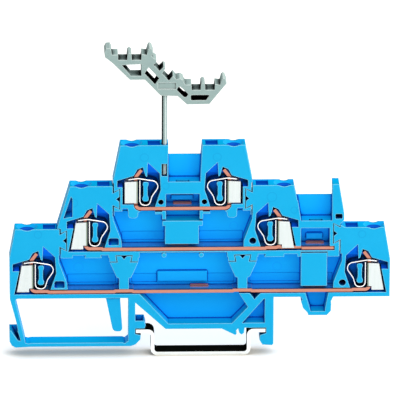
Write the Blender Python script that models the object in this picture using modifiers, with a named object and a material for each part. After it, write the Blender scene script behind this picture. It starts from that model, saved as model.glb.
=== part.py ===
# Triple level terminal block on a slice of mounting rail, with its marker carrier.
# Metres in Blender, +Z up. X runs along the block, Y through its thickness (front at -Y).
# The origin is under the middle of the rail. Sizes below are in millimetres.

import math

import bmesh
import bpy
from mathutils import Matrix

MM = 0.001

# The block
DEPTH = 5.0  # thickness of one block, front to back
BACK_WALL = 0.7  # moulded wall that closes every bay at the back
FIT = 0.2  # gap between mouldings that plug together
SEAM = 0.08  # gap between their sides at the back wall
SEAM_GROOVE = 0.24  # how much wider the seam is in front of the back wall
METAL_GAP = 0.15  # gap between the busbars and their slots

# Levels: height of each busbar's middle, and the middle and half span of its two clamps
LOWER_BAR_Z = 18.4
MIDDLE_RISE = 12.2
UPPER_RISE = 11.6
LOWER_MIDDLE_X = -0.15
LOWER_SPAN = 44.55
MIDDLE_MIDDLE_X = -5.0
MIDDLE_SPAN = 25.1
UPPER_MIDDLE_X = -5.05
UPPER_SPAN = 11.5

# Towers, measured outwards from the spring's inner leg and up from the spring's top
TOWER_OUT = 5.3
TOWER_RISE = 9.6
SPRING_RISE = 8.5  # spring top above the busbar's middle
BATTER = 2.0  # how far a tower's outer face leans out over its height
WIRE_X = 2.2  # wire bore, outboard of the inner leg
WIRE_R = 1.5
FUNNEL_R = 2.85
TOOL_X = 3.75  # screwdriver shaft, inboard of the inner leg
TOOL_WIDTH = 3.3
TOOL_DEPTH = 3.8

# Clamp spring
STRIP = 0.4
SPRING_WIDTH = 3.8
LEG_HEIGHT = 7.55
TOP_LEG = 3.05  # how far the spring's top leg reaches outboard
LOOP_REACH = 5.9  # corner of the loop, before it is rounded
LOOP_DROP = 1.07
U_WIDTH = 2.36
U_RADIUS = 1.3
LOOP_RADIUS = 1.6
WINDOW_IN = 0.85
WINDOW_OUT = 2.6

# Wire cage
SHEET = 0.3
CAGE_IN = 0.6
CAGE_WIDTH = 3.8
UPPER_CAGE = 6.2
LOWER_CAGE = 7.7
CAGE_LEAN = 1.3
CAGE_DROP = 0.75  # cage top below the spring's top

# Busbars
BAR = 0.9
BAR_WIDTH = 3.8
TIP_WIDTH = 2.6
RISER_X = 1.1  # middle of the upright strip, outboard of the inner leg
BEND_RADIUS = 1.2
TIP_IN = 1.5
TIP_RISE = 2.35
JOGGLE = 0.2
PAD_RISE = 0.35
PAD_WIDTH = 4.8
PAD_DEPTH = 1.2

# Dovetails that lock the decks together
TAIL_NECK = 3.4
TAIL_TIP = 5.5
TAIL_LENGTH = 1.8
TAIL_NOTCH = 0.9
TAIL_NOTCH_WIDTH = 1.5
PILLAR_TIP = 4.2  # the tenons on the lower deck's pillars are narrower
SIDE_TAILS = {  # height of each tower's side dovetail above its busbar
    "middle_left": 14.4,
    "middle_right": 14.4,
    "lower_left": 14.8,
    "lower_right": 16.4,
}
BOSS_WIDTH = 7.8
BOSS_DROP = 1.1

# Back walls of the bays
STEP_RISE = 3.7  # top of the thinner band, above a busbar
STEP_DEPTH = 0.15
STRIP_HEIGHT = 0.8  # open strip under the middle deck's edge
STRIP_SLANT = 0.35

# Slot in a marker bay's shelf, for the marking strip's catch
CATCH_WIDTH = 3.6
CATCH_DEPTH = 1.5
CATCH_FRONT = 0.3
CATCH_LENGTH = 1.2

# Foot of the lower deck
SHELF = 1.4  # thickness of the base shelf
FOOT_Z = 2.7  # underside of the foot beam
FOOT_X = -51.7
BEAM = 1.05
SEAT_WALL = 1.9  # upright walls on both sides of the rail
FINGER_LENGTH = 9.8
PAD_HEIGHT = 4.7
PAD_WALL = 0.6
BUCKET_Z = 11.3  # underside of the second marker's seat
TROUGH_Z = 7.6
TROUGH_WALL = 1.5

# Marker carrier and its rod
ROD_R = 0.75
ROD_END_Z = 51.8
ROD_X = -10.0
ROD_Y = -1.1
CARRIER_Z = 73.2

# Top-hat rail, 35 by 7.5 mm
RAIL_WIDTH = 35.0
RAIL_HEIGHT = 7.5
RAIL_FLANGE = 4.0
RAIL_SHEET = 1.0
RAIL_RADIUS = 1.3
RAIL_GAP = 0.2

# Values that follow from the ones above
FRONT = -DEPTH / 2
BACK = DEPTH / 2
FLOOR = BACK - BACK_WALL
MIDDLE_BAR_Z = LOWER_BAR_Z + MIDDLE_RISE
UPPER_BAR_Z = MIDDLE_BAR_Z + UPPER_RISE
PAST = 1.0  # how far a cutter runs past a face
METAL_FRONT = FRONT + 0.2
METAL_MIDDLE = METAL_FRONT + SPRING_WIDTH / 2


def start_scene():
    for obj in list(bpy.data.objects):
        bpy.data.objects.remove(obj, do_unlink=True)
    made = []
    for name in ("terminal_block", "cutters"):
        found = bpy.data.collections.get(name) or bpy.data.collections.new(name)
        if name not in bpy.context.scene.collection.children:
            bpy.context.scene.collection.children.link(found)
        made.append(found)
    return made


PARTS, CUTTERS = start_scene()


def material(name, colour, roughness, metallic=0.0):
    made = bpy.data.materials.new(name)
    made.use_nodes = True
    shader = made.node_tree.nodes["Principled BSDF"]
    shader.inputs["Base Color"].default_value = (*colour, 1.0)
    shader.inputs["Roughness"].default_value = roughness
    shader.inputs["Metallic"].default_value = metallic
    return made


def rounded(corners, steps=4):
    """A polyline's points, with each corner (x, z, radius) turned into an arc."""
    points = []
    last = len(corners) - 1
    for i, (x, z, *radius) in enumerate(corners):
        r = radius[0] if radius else 0.0
        if r == 0.0 or i in (0, last):
            points.append((x, z))
            continue
        (xa, za), (xb, zb) = corners[i - 1][:2], corners[i + 1][:2]
        before = math.atan2(za - z, xa - x)
        after = math.atan2(zb - z, xb - x)
        turn = (after - before + math.pi) % (2 * math.pi) - math.pi
        middle = before + turn / 2
        reach = r / math.sin(abs(turn) / 2)
        centre = (x + reach * math.cos(middle), z + reach * math.sin(middle))
        side = math.copysign(1.0, turn)
        first = before - side * math.pi / 2
        sweep = side * (math.pi - abs(turn))
        for k in range(steps + 1):
            a = first - sweep * k / steps
            points.append((centre[0] + r * math.cos(a), centre[1] + r * math.sin(a)))
    return points


def ring(corners, steps=4):
    """A closed outline with rounded corners, from (x, z, radius) corners."""
    looped = [corners[-1], *corners, corners[0]]
    return rounded(looped, steps)[1:-1]


def disc(x, z, radius, count=16):
    """A round outline."""
    return [
        (x + radius * math.cos(2 * math.pi * k / count), z + radius * math.sin(2 * math.pi * k / count))
        for k in range(count)
    ]


def box(x0, z0, x1, z1):
    """A rectangular outline."""
    return [(x0, z0), (x1, z0), (x1, z1), (x0, z1)]


def curve_mesh(name, loops, y0, y1, closed):
    """Extrudes outlines in the XZ plane from y0 to y1 and returns a welded mesh."""
    curve = bpy.data.curves.new(name, "CURVE")
    curve.dimensions = "2D"
    curve.fill_mode = "BOTH"
    curve.extrude = abs(y1 - y0) / 2 * MM
    for loop in loops:
        spline = curve.splines.new("POLY")
        spline.points.add(len(loop) - 1)
        for point, (x, z) in zip(spline.points, loop):
            point.co = (x * MM, z * MM, 0.0, 1.0)
        spline.use_cyclic_u = closed
    holder = bpy.data.objects.new(name, curve)
    bpy.context.scene.collection.objects.link(holder)
    bpy.context.view_layer.update()
    seen = holder.evaluated_get(bpy.context.evaluated_depsgraph_get())
    mesh = bpy.data.meshes.new_from_object(seen)
    bpy.data.objects.remove(holder, do_unlink=True)
    bpy.data.curves.remove(curve)
    work = bmesh.new()
    work.from_mesh(mesh)
    for vert in work.verts:
        across, up, side = vert.co
        vert.co = (across, (y0 if side > 0.0 else y1) * MM, up)
    bmesh.ops.remove_doubles(work, verts=work.verts, dist=1e-7)
    flat = {face for face in work.faces if len({vert.co.y for vert in face.verts}) == 1}
    inner = [edge for edge in work.edges if len(edge.link_faces) == 2 and flat.issuperset(edge.link_faces)]
    bmesh.ops.dissolve_edges(work, edges=inner, use_verts=False)
    bmesh.ops.recalc_face_normals(work, faces=work.faces)
    if closed and work.calc_volume(signed=True) < 0.0:
        bmesh.ops.reverse_faces(work, faces=work.faces)
    work.to_mesh(mesh)
    work.free()
    mesh.name = name
    return mesh


def add(name, mesh, collection, finish=None):
    obj = bpy.data.objects.new(name, mesh)
    collection.objects.link(obj)
    if finish:
        mesh.materials.clear()
        mesh.materials.append(finish)
    return obj


def slab(name, loops, y0, y1, finish):
    """A named piece: an XZ outline (with holes, if more loops are given) from y0 to y1."""
    return add(name, curve_mesh(name, loops, y0, y1, True), PARTS, finish)


def strip(name, path, thickness, y0, y1, finish):
    """A bent strip: a ribbon that follows an XZ path, thickened on both sides."""
    obj = add(name, curve_mesh(name, [path], y0, y1, False), PARTS, finish)
    wall = obj.modifiers.new("sheet", "SOLIDIFY")
    wall.thickness = thickness * MM
    wall.offset = 0.0
    wall.use_even_offset = True
    return obj


def tool(obj):
    """Marks an object as a cutter."""
    obj.hide_render = True
    obj.display_type = "WIRE"
    return obj


def combine(target, name, mesh, operation):
    other = tool(add(f"{target.name}_{name}", mesh, CUTTERS))
    step = target.modifiers.new(name, "BOOLEAN")
    step.operation = operation
    step.solver = "EXACT"
    step.object = other


def cut(target, name, loop, y0, y1, islands=()):
    """Cuts an XZ outline out of a piece between y0 and y1, leaving the islands standing."""
    combine(target, name, curve_mesh(name, [loop, *islands], y0, y1, True), "DIFFERENCE")


def pocket(target, name, loop, islands=(), floor=FLOOR):
    """Cuts an XZ outline from the front face down to the back wall, or to another floor."""
    cut(target, name, loop, FRONT - PAST, floor, islands)


def join(target, name, loop, y0, y1):
    """Adds an XZ outline to a piece between y0 and y1."""
    combine(target, name, curve_mesh(name, [loop], y0, y1, True), "UNION")


def round_mesh(name, x, y, z0, z1, r0, r1, count):
    """An upright cylinder or cone, r0 at z0 and r1 at z1."""
    work = bmesh.new()
    bmesh.ops.create_cone(
        work, cap_ends=True, segments=count, radius1=r0 * MM, radius2=r1 * MM, depth=(z1 - z0) * MM,
        matrix=Matrix.Translation((x * MM, y * MM, (z0 + z1) / 2 * MM)),
    )
    mesh = bpy.data.meshes.new(name)
    work.to_mesh(mesh)
    work.free()
    return mesh


def bore(target, name, x, y, z0, z1, r0, r1, count=24):
    """Cuts an upright round or tapered hole, r0 at z0 and r1 at z1."""
    combine(target, name, round_mesh(name, x, y, z0, z1, r0, r1, count), "DIFFERENCE")


class Clamp:
    """One clamp's place: the spring's inner leg, its top, and the side that faces outwards."""

    def __init__(self, name, leg_x, bar_z, side, cage_height, cage_lean):
        self.name = name
        self.leg_x = leg_x
        self.bar_z = bar_z
        self.top_z = bar_z + SPRING_RISE
        self.side = side
        self.cage_height = cage_height
        self.cage_lean = cage_lean

    def at(self, out, up, *rest):
        """A point given outwards from the leg and up from the spring's top."""
        return (self.leg_x + self.side * out, self.top_z + up, *rest)

    def all(self, points):
        return [self.at(*p) for p in points]

    def all_z(self, points):
        """The same, with heights given above the ground."""
        return [self.at(out, z - self.top_z) for out, z in points]


def level_clamps(level, middle_x, span, bar_z, cage_height, cage_lean):
    return [
        Clamp(f"{level}_{word}", middle_x + side * span, bar_z, side, cage_height, cage_lean)
        for word, side in (("left", -1), ("right", 1))
    ]


UPPER_LEFT, UPPER_RIGHT = level_clamps("upper", UPPER_MIDDLE_X, UPPER_SPAN, UPPER_BAR_Z, UPPER_CAGE, 0.0)
MIDDLE_LEFT, MIDDLE_RIGHT = level_clamps(
    "middle", MIDDLE_MIDDLE_X, MIDDLE_SPAN, MIDDLE_BAR_Z, LOWER_CAGE, CAGE_LEAN
)
LOWER_LEFT, LOWER_RIGHT = level_clamps(
    "lower", LOWER_MIDDLE_X, LOWER_SPAN, LOWER_BAR_Z, LOWER_CAGE, CAGE_LEAN
)
CLAMPS = (UPPER_LEFT, UPPER_RIGHT, MIDDLE_LEFT, MIDDLE_RIGHT, LOWER_LEFT, LOWER_RIGHT)

# Places along X that several pieces share
UPPER_SIDE_LEFT = UPPER_LEFT.leg_x - 7.25  # sides of the upper deck between the middle towers
UPPER_SIDE_RIGHT = UPPER_RIGHT.leg_x + 7.25
MIDDLE_SIDE_LEFT = MIDDLE_LEFT.leg_x - 8.0
MIDDLE_SIDE_RIGHT = LOWER_RIGHT.leg_x - 6.9
PILLAR_X = (MIDDLE_LEFT.leg_x + 9.3, MIDDLE_RIGHT.leg_x - 8.9)
BRIDGE_LEFT_X = MIDDLE_RIGHT.leg_x + 6.8  # the second pair of bridge slots
BRIDGE_RIGHT_X = BRIDGE_LEFT_X + 7.8
BRIDGE_MIDDLE_X = (BRIDGE_LEFT_X + BRIDGE_RIGHT_X) / 2
BRIDGE_END_X = BRIDGE_RIGHT_X + 1.1
FIN_X = BRIDGE_RIGHT_X + 0.6
FIN_WIDTH = 1.8
FIN_RISE = 18.3  # fin's top above the middle busbar
UPPER_BOTTOM = UPPER_BAR_Z - 1.85
MIDDLE_BOTTOM = MIDDLE_BAR_Z - 2.4
MIDDLE_TOWER_OUT_X = MIDDLE_RIGHT.leg_x + TOWER_OUT + 1.4
MARKER_LEFT = UPPER_LEFT.leg_x + 7.6
MARKER_RIGHT = UPPER_RIGHT.leg_x - 6.65
BAY_LEFT = UPPER_LEFT.leg_x + 7.0
BAY_RIGHT = UPPER_RIGHT.leg_x - 6.9

UPPER_SIDES = ((MIDDLE_LEFT, UPPER_SIDE_LEFT), (MIDDLE_RIGHT, UPPER_SIDE_RIGHT))
MIDDLE_SIDES = ((LOWER_LEFT, MIDDLE_SIDE_LEFT), (LOWER_RIGHT, MIDDLE_SIDE_RIGHT))

RAIL_HALF = RAIL_WIDTH / 2 + RAIL_GAP
SEAT_TOP = RAIL_HEIGHT + RAIL_GAP + 0.1
HOOK_Z = RAIL_HEIGHT - RAIL_SHEET - RAIL_GAP - 0.1
FINGER_X = -23.0
SLOPE_LEFT = -RAIL_HALF + 8.2
SLOPE_RIGHT = RAIL_HALF - 9.0
LATCH_X = RAIL_HALF - 5.8

BLUE = material("blue_housing", (0.016, 0.47, 0.87), 0.42)
COPPER = material("copper_bar", (0.80, 0.29, 0.17), 0.35, 1.0)
STEEL = material("spring_steel", (0.80, 0.80, 0.78), 0.25, 1.0)
CAGE = material("wire_cage_white", (0.86, 0.87, 0.84), 0.45)
GREY = material("marker_grey", (0.40, 0.52, 0.52), 0.55)
RAIL = material("rail_steel", (0.86, 0.87, 0.88), 0.3, 1.0)


# Clamp springs: one steel strip each, bent into a U and a loop, with a window in the top leg.
def clamp_spring(clamp):
    path = rounded(
        clamp.all([
            (TOP_LEG, -0.22, 0.0),
            (CAGE_IN, 0.12, 3.0),
            (-LOOP_REACH, -LOOP_DROP, LOOP_RADIUS),
            (-U_WIDTH, -LEG_HEIGHT, U_RADIUS),
            (0.0, -LEG_HEIGHT, U_RADIUS),
            (0.0, -STRIP - 0.1, 0.0),
        ]),
        6,
    )
    y0, y1 = METAL_FRONT, METAL_FRONT + SPRING_WIDTH
    spring = strip(f"{clamp.name}_spring", path, STRIP, y0, y1, STEEL)
    x0, z0 = clamp.at(-WINDOW_IN, -STRIP - 0.02)
    x1, z1 = clamp.at(WINDOW_OUT, STRIP * 2)
    window = TIP_WIDTH / 2 + 0.1
    cut(spring, "window", box(x0, z0, x1, z1), METAL_MIDDLE - window, METAL_MIDDLE + window)


# Wire cages: sheet channels that guide the wire against the upright copper.
def cage_outline(clamp, inset=0.0):
    outer = CAGE_IN + CAGE_WIDTH - inset
    top, foot = -CAGE_DROP, -CAGE_DROP - clamp.cage_height
    lean = clamp.cage_lean
    start = CAGE_IN - (PAST if inset else 0.0)
    reach = PAST if inset else 0.0
    per_mm = lean / clamp.cage_height
    shift = outer - 0.4 * (1 if lean else 0)
    return clamp.all([
        (start, top + reach),
        (start, foot - reach),
        (shift + lean + per_mm * reach, foot - reach),
        (shift - per_mm * reach, top - 0.2 + reach),
    ])


def wire_cage(clamp):
    y0, y1 = METAL_FRONT, METAL_FRONT + SPRING_WIDTH
    cage = slab(f"{clamp.name}_cage", [cage_outline(clamp)], y0, y1, CAGE)
    cut(cage, "hollow", cage_outline(clamp, SHEET), y0 + SHEET, y1 - SHEET)
    if clamp.cage_lean:
        out = RISER_X + BAR / 2 + METAL_GAP
        notch = clamp.all([(0.0, -7.4), (out, -7.4), (out, -9.9), (0.0, -9.9)])
        cut(cage, "bar_notch", notch, y0 - PAST, y1 + PAST)
    return cage


# Busbars: one copper strip each, turned up and hooked over a spring at both ends.
def hook_path(clamp, bar_z):
    """From the hooked tip down the upright to the start of the level run."""
    tip = clamp.at(RISER_X - TIP_IN, TIP_RISE, 0.0)
    neck = clamp.at(RISER_X, 0.35, 0.6)
    heel = (clamp.at(RISER_X, 0.0)[0], bar_z, BEND_RADIUS)
    return [tip, neck, heel]


def raised_run(x0, x1, bar_z):
    """A short stretch of bar that is joggled up, between two places."""
    step = math.copysign(0.3, x1 - x0)
    return [(x0, bar_z), (x0 + step, bar_z + JOGGLE), (x1 - step, bar_z + JOGGLE), (x1, bar_z)]


def busbar(name, path, ends):
    y0, y1 = METAL_FRONT, METAL_FRONT + BAR_WIDTH
    bar = strip(name, rounded(path, 5), BAR, y0, y1, COPPER)
    side = (BAR_WIDTH - TIP_WIDTH) / 2
    for clamp in ends:
        x0, z0 = clamp.at(RISER_X + 2.5, -6.7)
        x1, z1 = clamp.at(-1.6, TIP_RISE + PAST)
        low = clamp.bar_z + BAR
        for word, ya, yb in (("front", y0 - PAST, y0 + side), ("back", y1 - side, y1 + PAST)):
            cut(bar, f"{clamp.name}_{word}", box(x0, low, x1, z1), ya, yb)
    return bar


def contact_pad(bar, name, middle_x, bar_z):
    """A raised contact behind the front edge, where a jumper lands."""
    loop = box(middle_x - PAD_WIDTH / 2, bar_z, middle_x + PAD_WIDTH / 2, bar_z + BAR / 2 + PAD_RISE)
    end = METAL_FRONT + BAR_WIDTH - 0.1
    join(bar, name, loop, end - PAD_DEPTH, end)


def upper_busbar():
    path = [*hook_path(UPPER_LEFT, UPPER_BAR_Z), *reversed(hook_path(UPPER_RIGHT, UPPER_BAR_Z))]
    bar = busbar("upper_busbar", path, (UPPER_LEFT, UPPER_RIGHT))
    contact_pad(bar, "pad", UPPER_MIDDLE_X, UPPER_BAR_Z)


def middle_busbar():
    z = MIDDLE_BAR_Z
    left = MIDDLE_LEFT.leg_x - RISER_X
    right = MIDDLE_RIGHT.leg_x
    path = [
        *hook_path(MIDDLE_LEFT, z + JOGGLE),
        (left + 4.4, z + JOGGLE),
        (left + 4.7, z),
        (right - 2.8, z),
        (right - 2.5, z + JOGGLE),
        *reversed(hook_path(MIDDLE_RIGHT, z + JOGGLE)),
    ]
    bar = busbar("middle_busbar", path, (MIDDLE_LEFT, MIDDLE_RIGHT))
    run = box(right + RISER_X - BAR, z - BAR / 2 + 0.1, BRIDGE_END_X, z + BAR / 2)
    half = TIP_WIDTH / 2
    join(bar, "bridge_run", run, METAL_MIDDLE - half, METAL_MIDDLE + half)
    run = box(MIDDLE_TOWER_OUT_X + 0.3, z - BAR / 2 + 0.05, BRIDGE_END_X, z + BAR / 2 - 0.05)
    join(bar, "bridge_end", run, METAL_FRONT, METAL_FRONT + BAR_WIDTH)
    contact_pad(bar, "pad_left", UPPER_MIDDLE_X - 0.75, z)
    contact_pad(bar, "pad_right", BRIDGE_MIDDLE_X, z)


def lower_busbar():
    z = LOWER_BAR_Z
    left, right = LOWER_LEFT.leg_x - RISER_X, LOWER_RIGHT.leg_x + RISER_X
    path = [
        *hook_path(LOWER_LEFT, z + JOGGLE),
        (left + 4.4, z + JOGGLE),
        (left + 4.7, z),
    ]
    for x in PILLAR_X:
        path += raised_run(x - 2.6, x + 2.6, z)
    path += [(right - 4.7, z), (right - 4.4, z + JOGGLE), *reversed(hook_path(LOWER_RIGHT, z + JOGGLE))]
    bar = busbar("lower_busbar", path, (LOWER_LEFT, LOWER_RIGHT))
    contact_pad(bar, "pad_left", LOWER_MIDDLE_X - 0.2, z)
    contact_pad(bar, "pad_right", BRIDGE_MIDDLE_X, z)


# Housings: three mouldings, each with a thin back wall and full-depth walls and towers.
def clamp_pocket(clamp):
    """The space for a spring, its cage and the hooked copper tip."""
    cage_top = CAGE_IN + CAGE_WIDTH + 0.3 - (0.4 if clamp.cage_lean else 0.0)
    floor = -SPRING_RISE - BAR / 2 - METAL_GAP
    points = [
        (6.1, -0.4), (1.7, 0.95), (0.7, 2.8), (-0.8, 3.4), (-1.45, 0.95), (-1.9, 0.65),
        (-2.1, 4.7), (-5.3, 1.6), (-5.6, -3.1), (-4.1, -SPRING_RISE + BAR / 2 + METAL_GAP + 0.1),
        (-4.1, floor),
    ]
    if clamp.cage_lean:
        points += [(cage_top + clamp.cage_lean + 0.1, floor), (cage_top + 0.05, -2.4), (6.1, -2.4)]
        return clamp.all(points)
    centre = (RISER_X - BEND_RADIUS, -SPRING_RISE + BEND_RADIUS)
    outer = BEND_RADIUS + BAR / 2 + METAL_GAP
    for k in range(5):
        a = math.radians(-90 + 90 * k / 4)
        points.append((centre[0] + outer * math.cos(a), centre[1] + outer * math.sin(a)))
    foot = -CAGE_DROP - clamp.cage_height - 0.3
    points += [(centre[0] + outer, foot), (cage_top, foot), (cage_top, -2.3), (6.1, -2.3)]
    return clamp.all(points)


def spring_post(clamp):
    """The dog-bone post that stands inside the spring's loop."""
    return clamp.all([
        (-0.85, -0.95), (-1.2, -0.8), (-2.0, -0.8), (-2.3, -1.1), (-2.3, -1.6), (-2.05, -2.2),
        (-2.05, -4.7), (-2.35, -5.4), (-2.3, -6.0), (-1.9, -6.35), (-1.1, -6.35), (-0.7, -6.0),
        (-0.65, -5.5), (-0.95, -4.7), (-0.95, -2.1), (-0.75, -1.5),
    ])


def clamp_seat(deck, clamp):
    """Everything that a tower holds for one clamp."""
    word = clamp.name
    pocket(deck, f"{word}_pocket", clamp_pocket(clamp), [spring_post(clamp)])
    top = tower_top(clamp)
    wire_x = clamp.at(WIRE_X, 0.0)[0]
    bore(deck, f"{word}_wire", wire_x, 0.0, clamp.top_z - 0.3, top + PAST, WIRE_R, WIRE_R, 16)
    bore(
        deck, f"{word}_funnel", wire_x, 0.0, top - (FUNNEL_R - WIRE_R), top + 0.2,
        WIRE_R, FUNNEL_R + 0.2, 24,
    )
    x0 = clamp.at(-TOOL_X - TOOL_WIDTH / 2, 0.0)[0]
    x1 = clamp.at(-TOOL_X + TOOL_WIDTH / 2, 0.0)[0]
    deep = FLOOR - 0.1
    cut(deck, f"{word}_tool", box(x0, clamp.top_z + 1.9, x1, top + PAST), deep - TOOL_DEPTH, deep)


def tower_top(clamp):
    return clamp.top_z + TOWER_RISE


def tail(x, z, direction, width=TAIL_TIP):
    """A dovetail tenon's outline from root to root, with a V in its tip, to put in a deck's outline."""
    neck, tip, notch = TAIL_NECK / 2, width / 2, TAIL_NOTCH_WIDTH / 2
    points = [
        (0.0, -neck), (TAIL_LENGTH, -tip), (TAIL_LENGTH, -notch), (TAIL_LENGTH - TAIL_NOTCH, 0.0),
        (TAIL_LENGTH, notch), (TAIL_LENGTH, tip), (0.0, neck),
    ]
    dx, dz = direction
    return [(x + a * dx - b * dz, z + a * dz + b * dx) for a, b in points]


def socket(deck, name, x, z, direction, width=TAIL_TIP):
    """Cuts the socket for a tail, grown by the fit, open at its root and closed by the back wall."""
    neck, tip, end = TAIL_NECK / 2 + FIT, width / 2 + FIT, TAIL_LENGTH + FIT
    points = [(-PAST, -neck), (-FIT, -neck), (end, -tip), (end, tip), (-FIT, neck), (-PAST, neck)]
    dx, dz = direction
    loop = [(x + a * dx - b * dz, z + a * dz + b * dx) for a, b in points]
    pocket(deck, name, loop)


def side_sockets(deck, sides, z0, z1):
    """Sockets in a deck's sides, and the seam's groove from z0 to z1 in front of the back wall."""
    for clamp, x in sides:
        root = x + clamp.side * SEAM
        socket(deck, f"{clamp.name}_socket", root, side_tail_z(clamp), (-clamp.side, 0))
        groove = box(x + clamp.side * PAST, z0, x - clamp.side * SEAM_GROOVE, z1)
        pocket(deck, f"{clamp.name}_seam", groove)


def tail_back(deck, name, x0, z0, x1, z1):
    """Takes the back off a dovetail, which leaves room for the other deck's back wall behind it."""
    cut(deck, f"{name}_tail_back", box(x0, z0, x1, z1), FLOOR - FIT, BACK + PAST)


def thin_side_tails(deck, sides):
    """Thins the dovetails that stand on a deck's towers."""
    half = TAIL_TIP / 2 + 2 * FIT
    for clamp, x in sides:
        z = side_tail_z(clamp)
        x0, x1 = x + clamp.side * FIT / 2, x - clamp.side * (TAIL_LENGTH + 2 * FIT)
        tail_back(deck, clamp.name, x0, z - half, x1, z + half)


def side_tail_z(clamp):
    """Height of the dovetail on the inner side of a tower."""
    return clamp.bar_z + SIDE_TAILS[clamp.name]


def lock_hole(deck, clamp):
    """The locating hole in the foot of the triangular pillar beside a clamp."""
    if clamp.side > 0:
        loop = disc(*clamp.at(-6.2, -6.25), 0.95)
    else:
        x0, z0 = clamp.at(-7.9, -7.3)
        x1, z1 = clamp.at(-5.1, -5.25)
        loop = ring([(x0, z0, 0.3), (x1, z0, 0.3), (x1, z1, 0.6), (x0, z1, 0.6)], 3)
    cut(deck, f"{clamp.name}_lock", loop, FRONT - PAST, FLOOR)


def marker_bay(deck, loop, slot_x, shelf):
    """An open bay for a marker strip, with the slot in its shelf that a catch snaps into."""
    pocket(deck, "marker_bay", loop)
    slot = box(slot_x, shelf - CATCH_DEPTH, slot_x + CATCH_WIDTH, shelf + PAST)
    y0 = FRONT + CATCH_FRONT
    cut(deck, "marker_slot", slot, y0, y0 + CATCH_LENGTH)


def upper_deck():
    left, right = UPPER_LEFT, UPPER_RIGHT
    top = tower_top(left)
    shelf = left.top_z - 0.8
    low = UPPER_BOTTOM
    outline = [
        left.at(TOWER_OUT, TOWER_RISE),
        (MARKER_LEFT, top),
        (MARKER_LEFT, top - 4.1),
        (MARKER_RIGHT, top - 4.1),
        (MARKER_RIGHT + 0.4, top),
        right.at(TOWER_OUT, TOWER_RISE),
        right.at(TOWER_OUT + BATTER, -0.8),
        (UPPER_SIDE_RIGHT, shelf - 0.1),
        (UPPER_SIDE_RIGHT, low),
        *tongue(right)[::-1],
        *bracket(BAY_RIGHT, 1)[::-1],
        *bracket(BAY_LEFT, -1),
        *tongue(left),
        (UPPER_SIDE_LEFT, low),
        (UPPER_SIDE_LEFT, shelf - 0.1),
        left.at(TOWER_OUT + BATTER, -0.8),
    ]
    deck = slab("upper_deck_housing", [outline], FRONT, BACK, BLUE)
    slot_top = UPPER_BAR_Z + BAR / 2 + METAL_GAP
    slot_foot = UPPER_BAR_Z - BAR / 2 - METAL_GAP
    bay = [
        (MARKER_LEFT, top + PAST), (MARKER_LEFT, shelf), (MARKER_RIGHT - 0.1, shelf),
        (MARKER_RIGHT + 0.4, top + PAST),
    ]
    marker_bay(deck, bay, MARKER_LEFT + 2.1, shelf)
    pocket(deck, "bar_slot", box(left.leg_x - 0.3, slot_foot, right.leg_x + 0.3, slot_top))
    frame = box(BAY_LEFT + 1.6, UPPER_BAR_Z + 1.4, BAY_RIGHT - 1.8, UPPER_BAR_Z + 2.6)
    pocket(deck, "bridge_bay", box(BAY_LEFT, slot_foot + 0.1, BAY_RIGHT, UPPER_BAR_Z + 4.2), [frame])
    trim = box(BAY_LEFT + 1.4, UPPER_BAR_Z + 1.2, BAY_RIGHT - 1.6, UPPER_BAR_Z + 2.8)
    pocket(deck, "frame_face", trim, floor=FLOOR - 0.9)
    pocket(deck, "under_bay", box(BAY_LEFT, low - PAST, BAY_RIGHT, slot_foot + 0.3))
    for clamp in (left, right):
        clamp_seat(deck, clamp)
        underside(deck, clamp, slot_foot)
        hole_x = clamp.at(-5.65, 0.0)[0]
        cut(deck, f"{clamp.name}_test_hole", disc(hole_x, UPPER_BAR_Z + 1.9, 0.75), FRONT - PAST, FLOOR)
    behind = box(UPPER_SIDE_LEFT - PAST, low - 3.0, UPPER_SIDE_RIGHT + PAST, low)
    cut(deck, "tongue_backs", behind, FLOOR - FIT, BACK + PAST)
    side_sockets(deck, UPPER_SIDES, low - PAST, shelf - 0.3)
    bore(deck, "rod_bore", ROD_X, ROD_Y, ROD_END_Z - 0.4, top + PAST, ROD_R + 0.06, ROD_R + 0.06, 20)
    window = box(ROD_X - 0.75, ROD_END_Z - 0.3, ROD_X + 0.75, ROD_END_Z + 3.2)
    cut(deck, "rod_window", window, FRONT - PAST, ROD_Y)
    return deck


def tongue(clamp):
    """The rounded tongue that hangs under a cage, from its inner to its outer side."""
    low = UPPER_BOTTOM
    return clamp.all_z([
        (0.5, low), (0.7, low - 0.5), (1.3, low - 0.8), (2.3, low - 0.8), (2.95, low - 0.5), (3.15, low),
    ])


def bracket(x, side):
    """The upright of a small bracket beside the bay, hanging below the deck's edge."""
    low = UPPER_BOTTOM
    return [(x, low), (x, low - 1.15), (x + side * 0.95, low - 1.15), (x + side * 0.95, low)]


def underside(deck, clamp, slot_foot):
    """Thins the strip below the upper busbar, round the tongue and the bracket's arm."""
    low = UPPER_BOTTOM
    strip_loop = [
        (0.5, low - 0.05), (0.5, low + 0.7), (-0.3, slot_foot + 0.05), (-6.0, slot_foot + 0.05),
        (-6.0, low + 0.95), (-4.1, low + 0.95), (-4.1, low + 0.35), (-6.0, low + 0.35),
        (-6.0, low - PAST), (0.0, low - PAST),
    ]
    pocket(deck, f"{clamp.name}_strip", clamp.all_z(strip_loop))
    corner = [
        (3.15, low - PAST), (6.85, low - PAST), (6.85, low + 1.2), (4.75, low + 1.2), (4.75, low + 2.0),
        (3.3, low + 2.0), (3.15, low + 1.0),
    ]
    pocket(deck, f"{clamp.name}_corner", clamp.all_z(corner))


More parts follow.
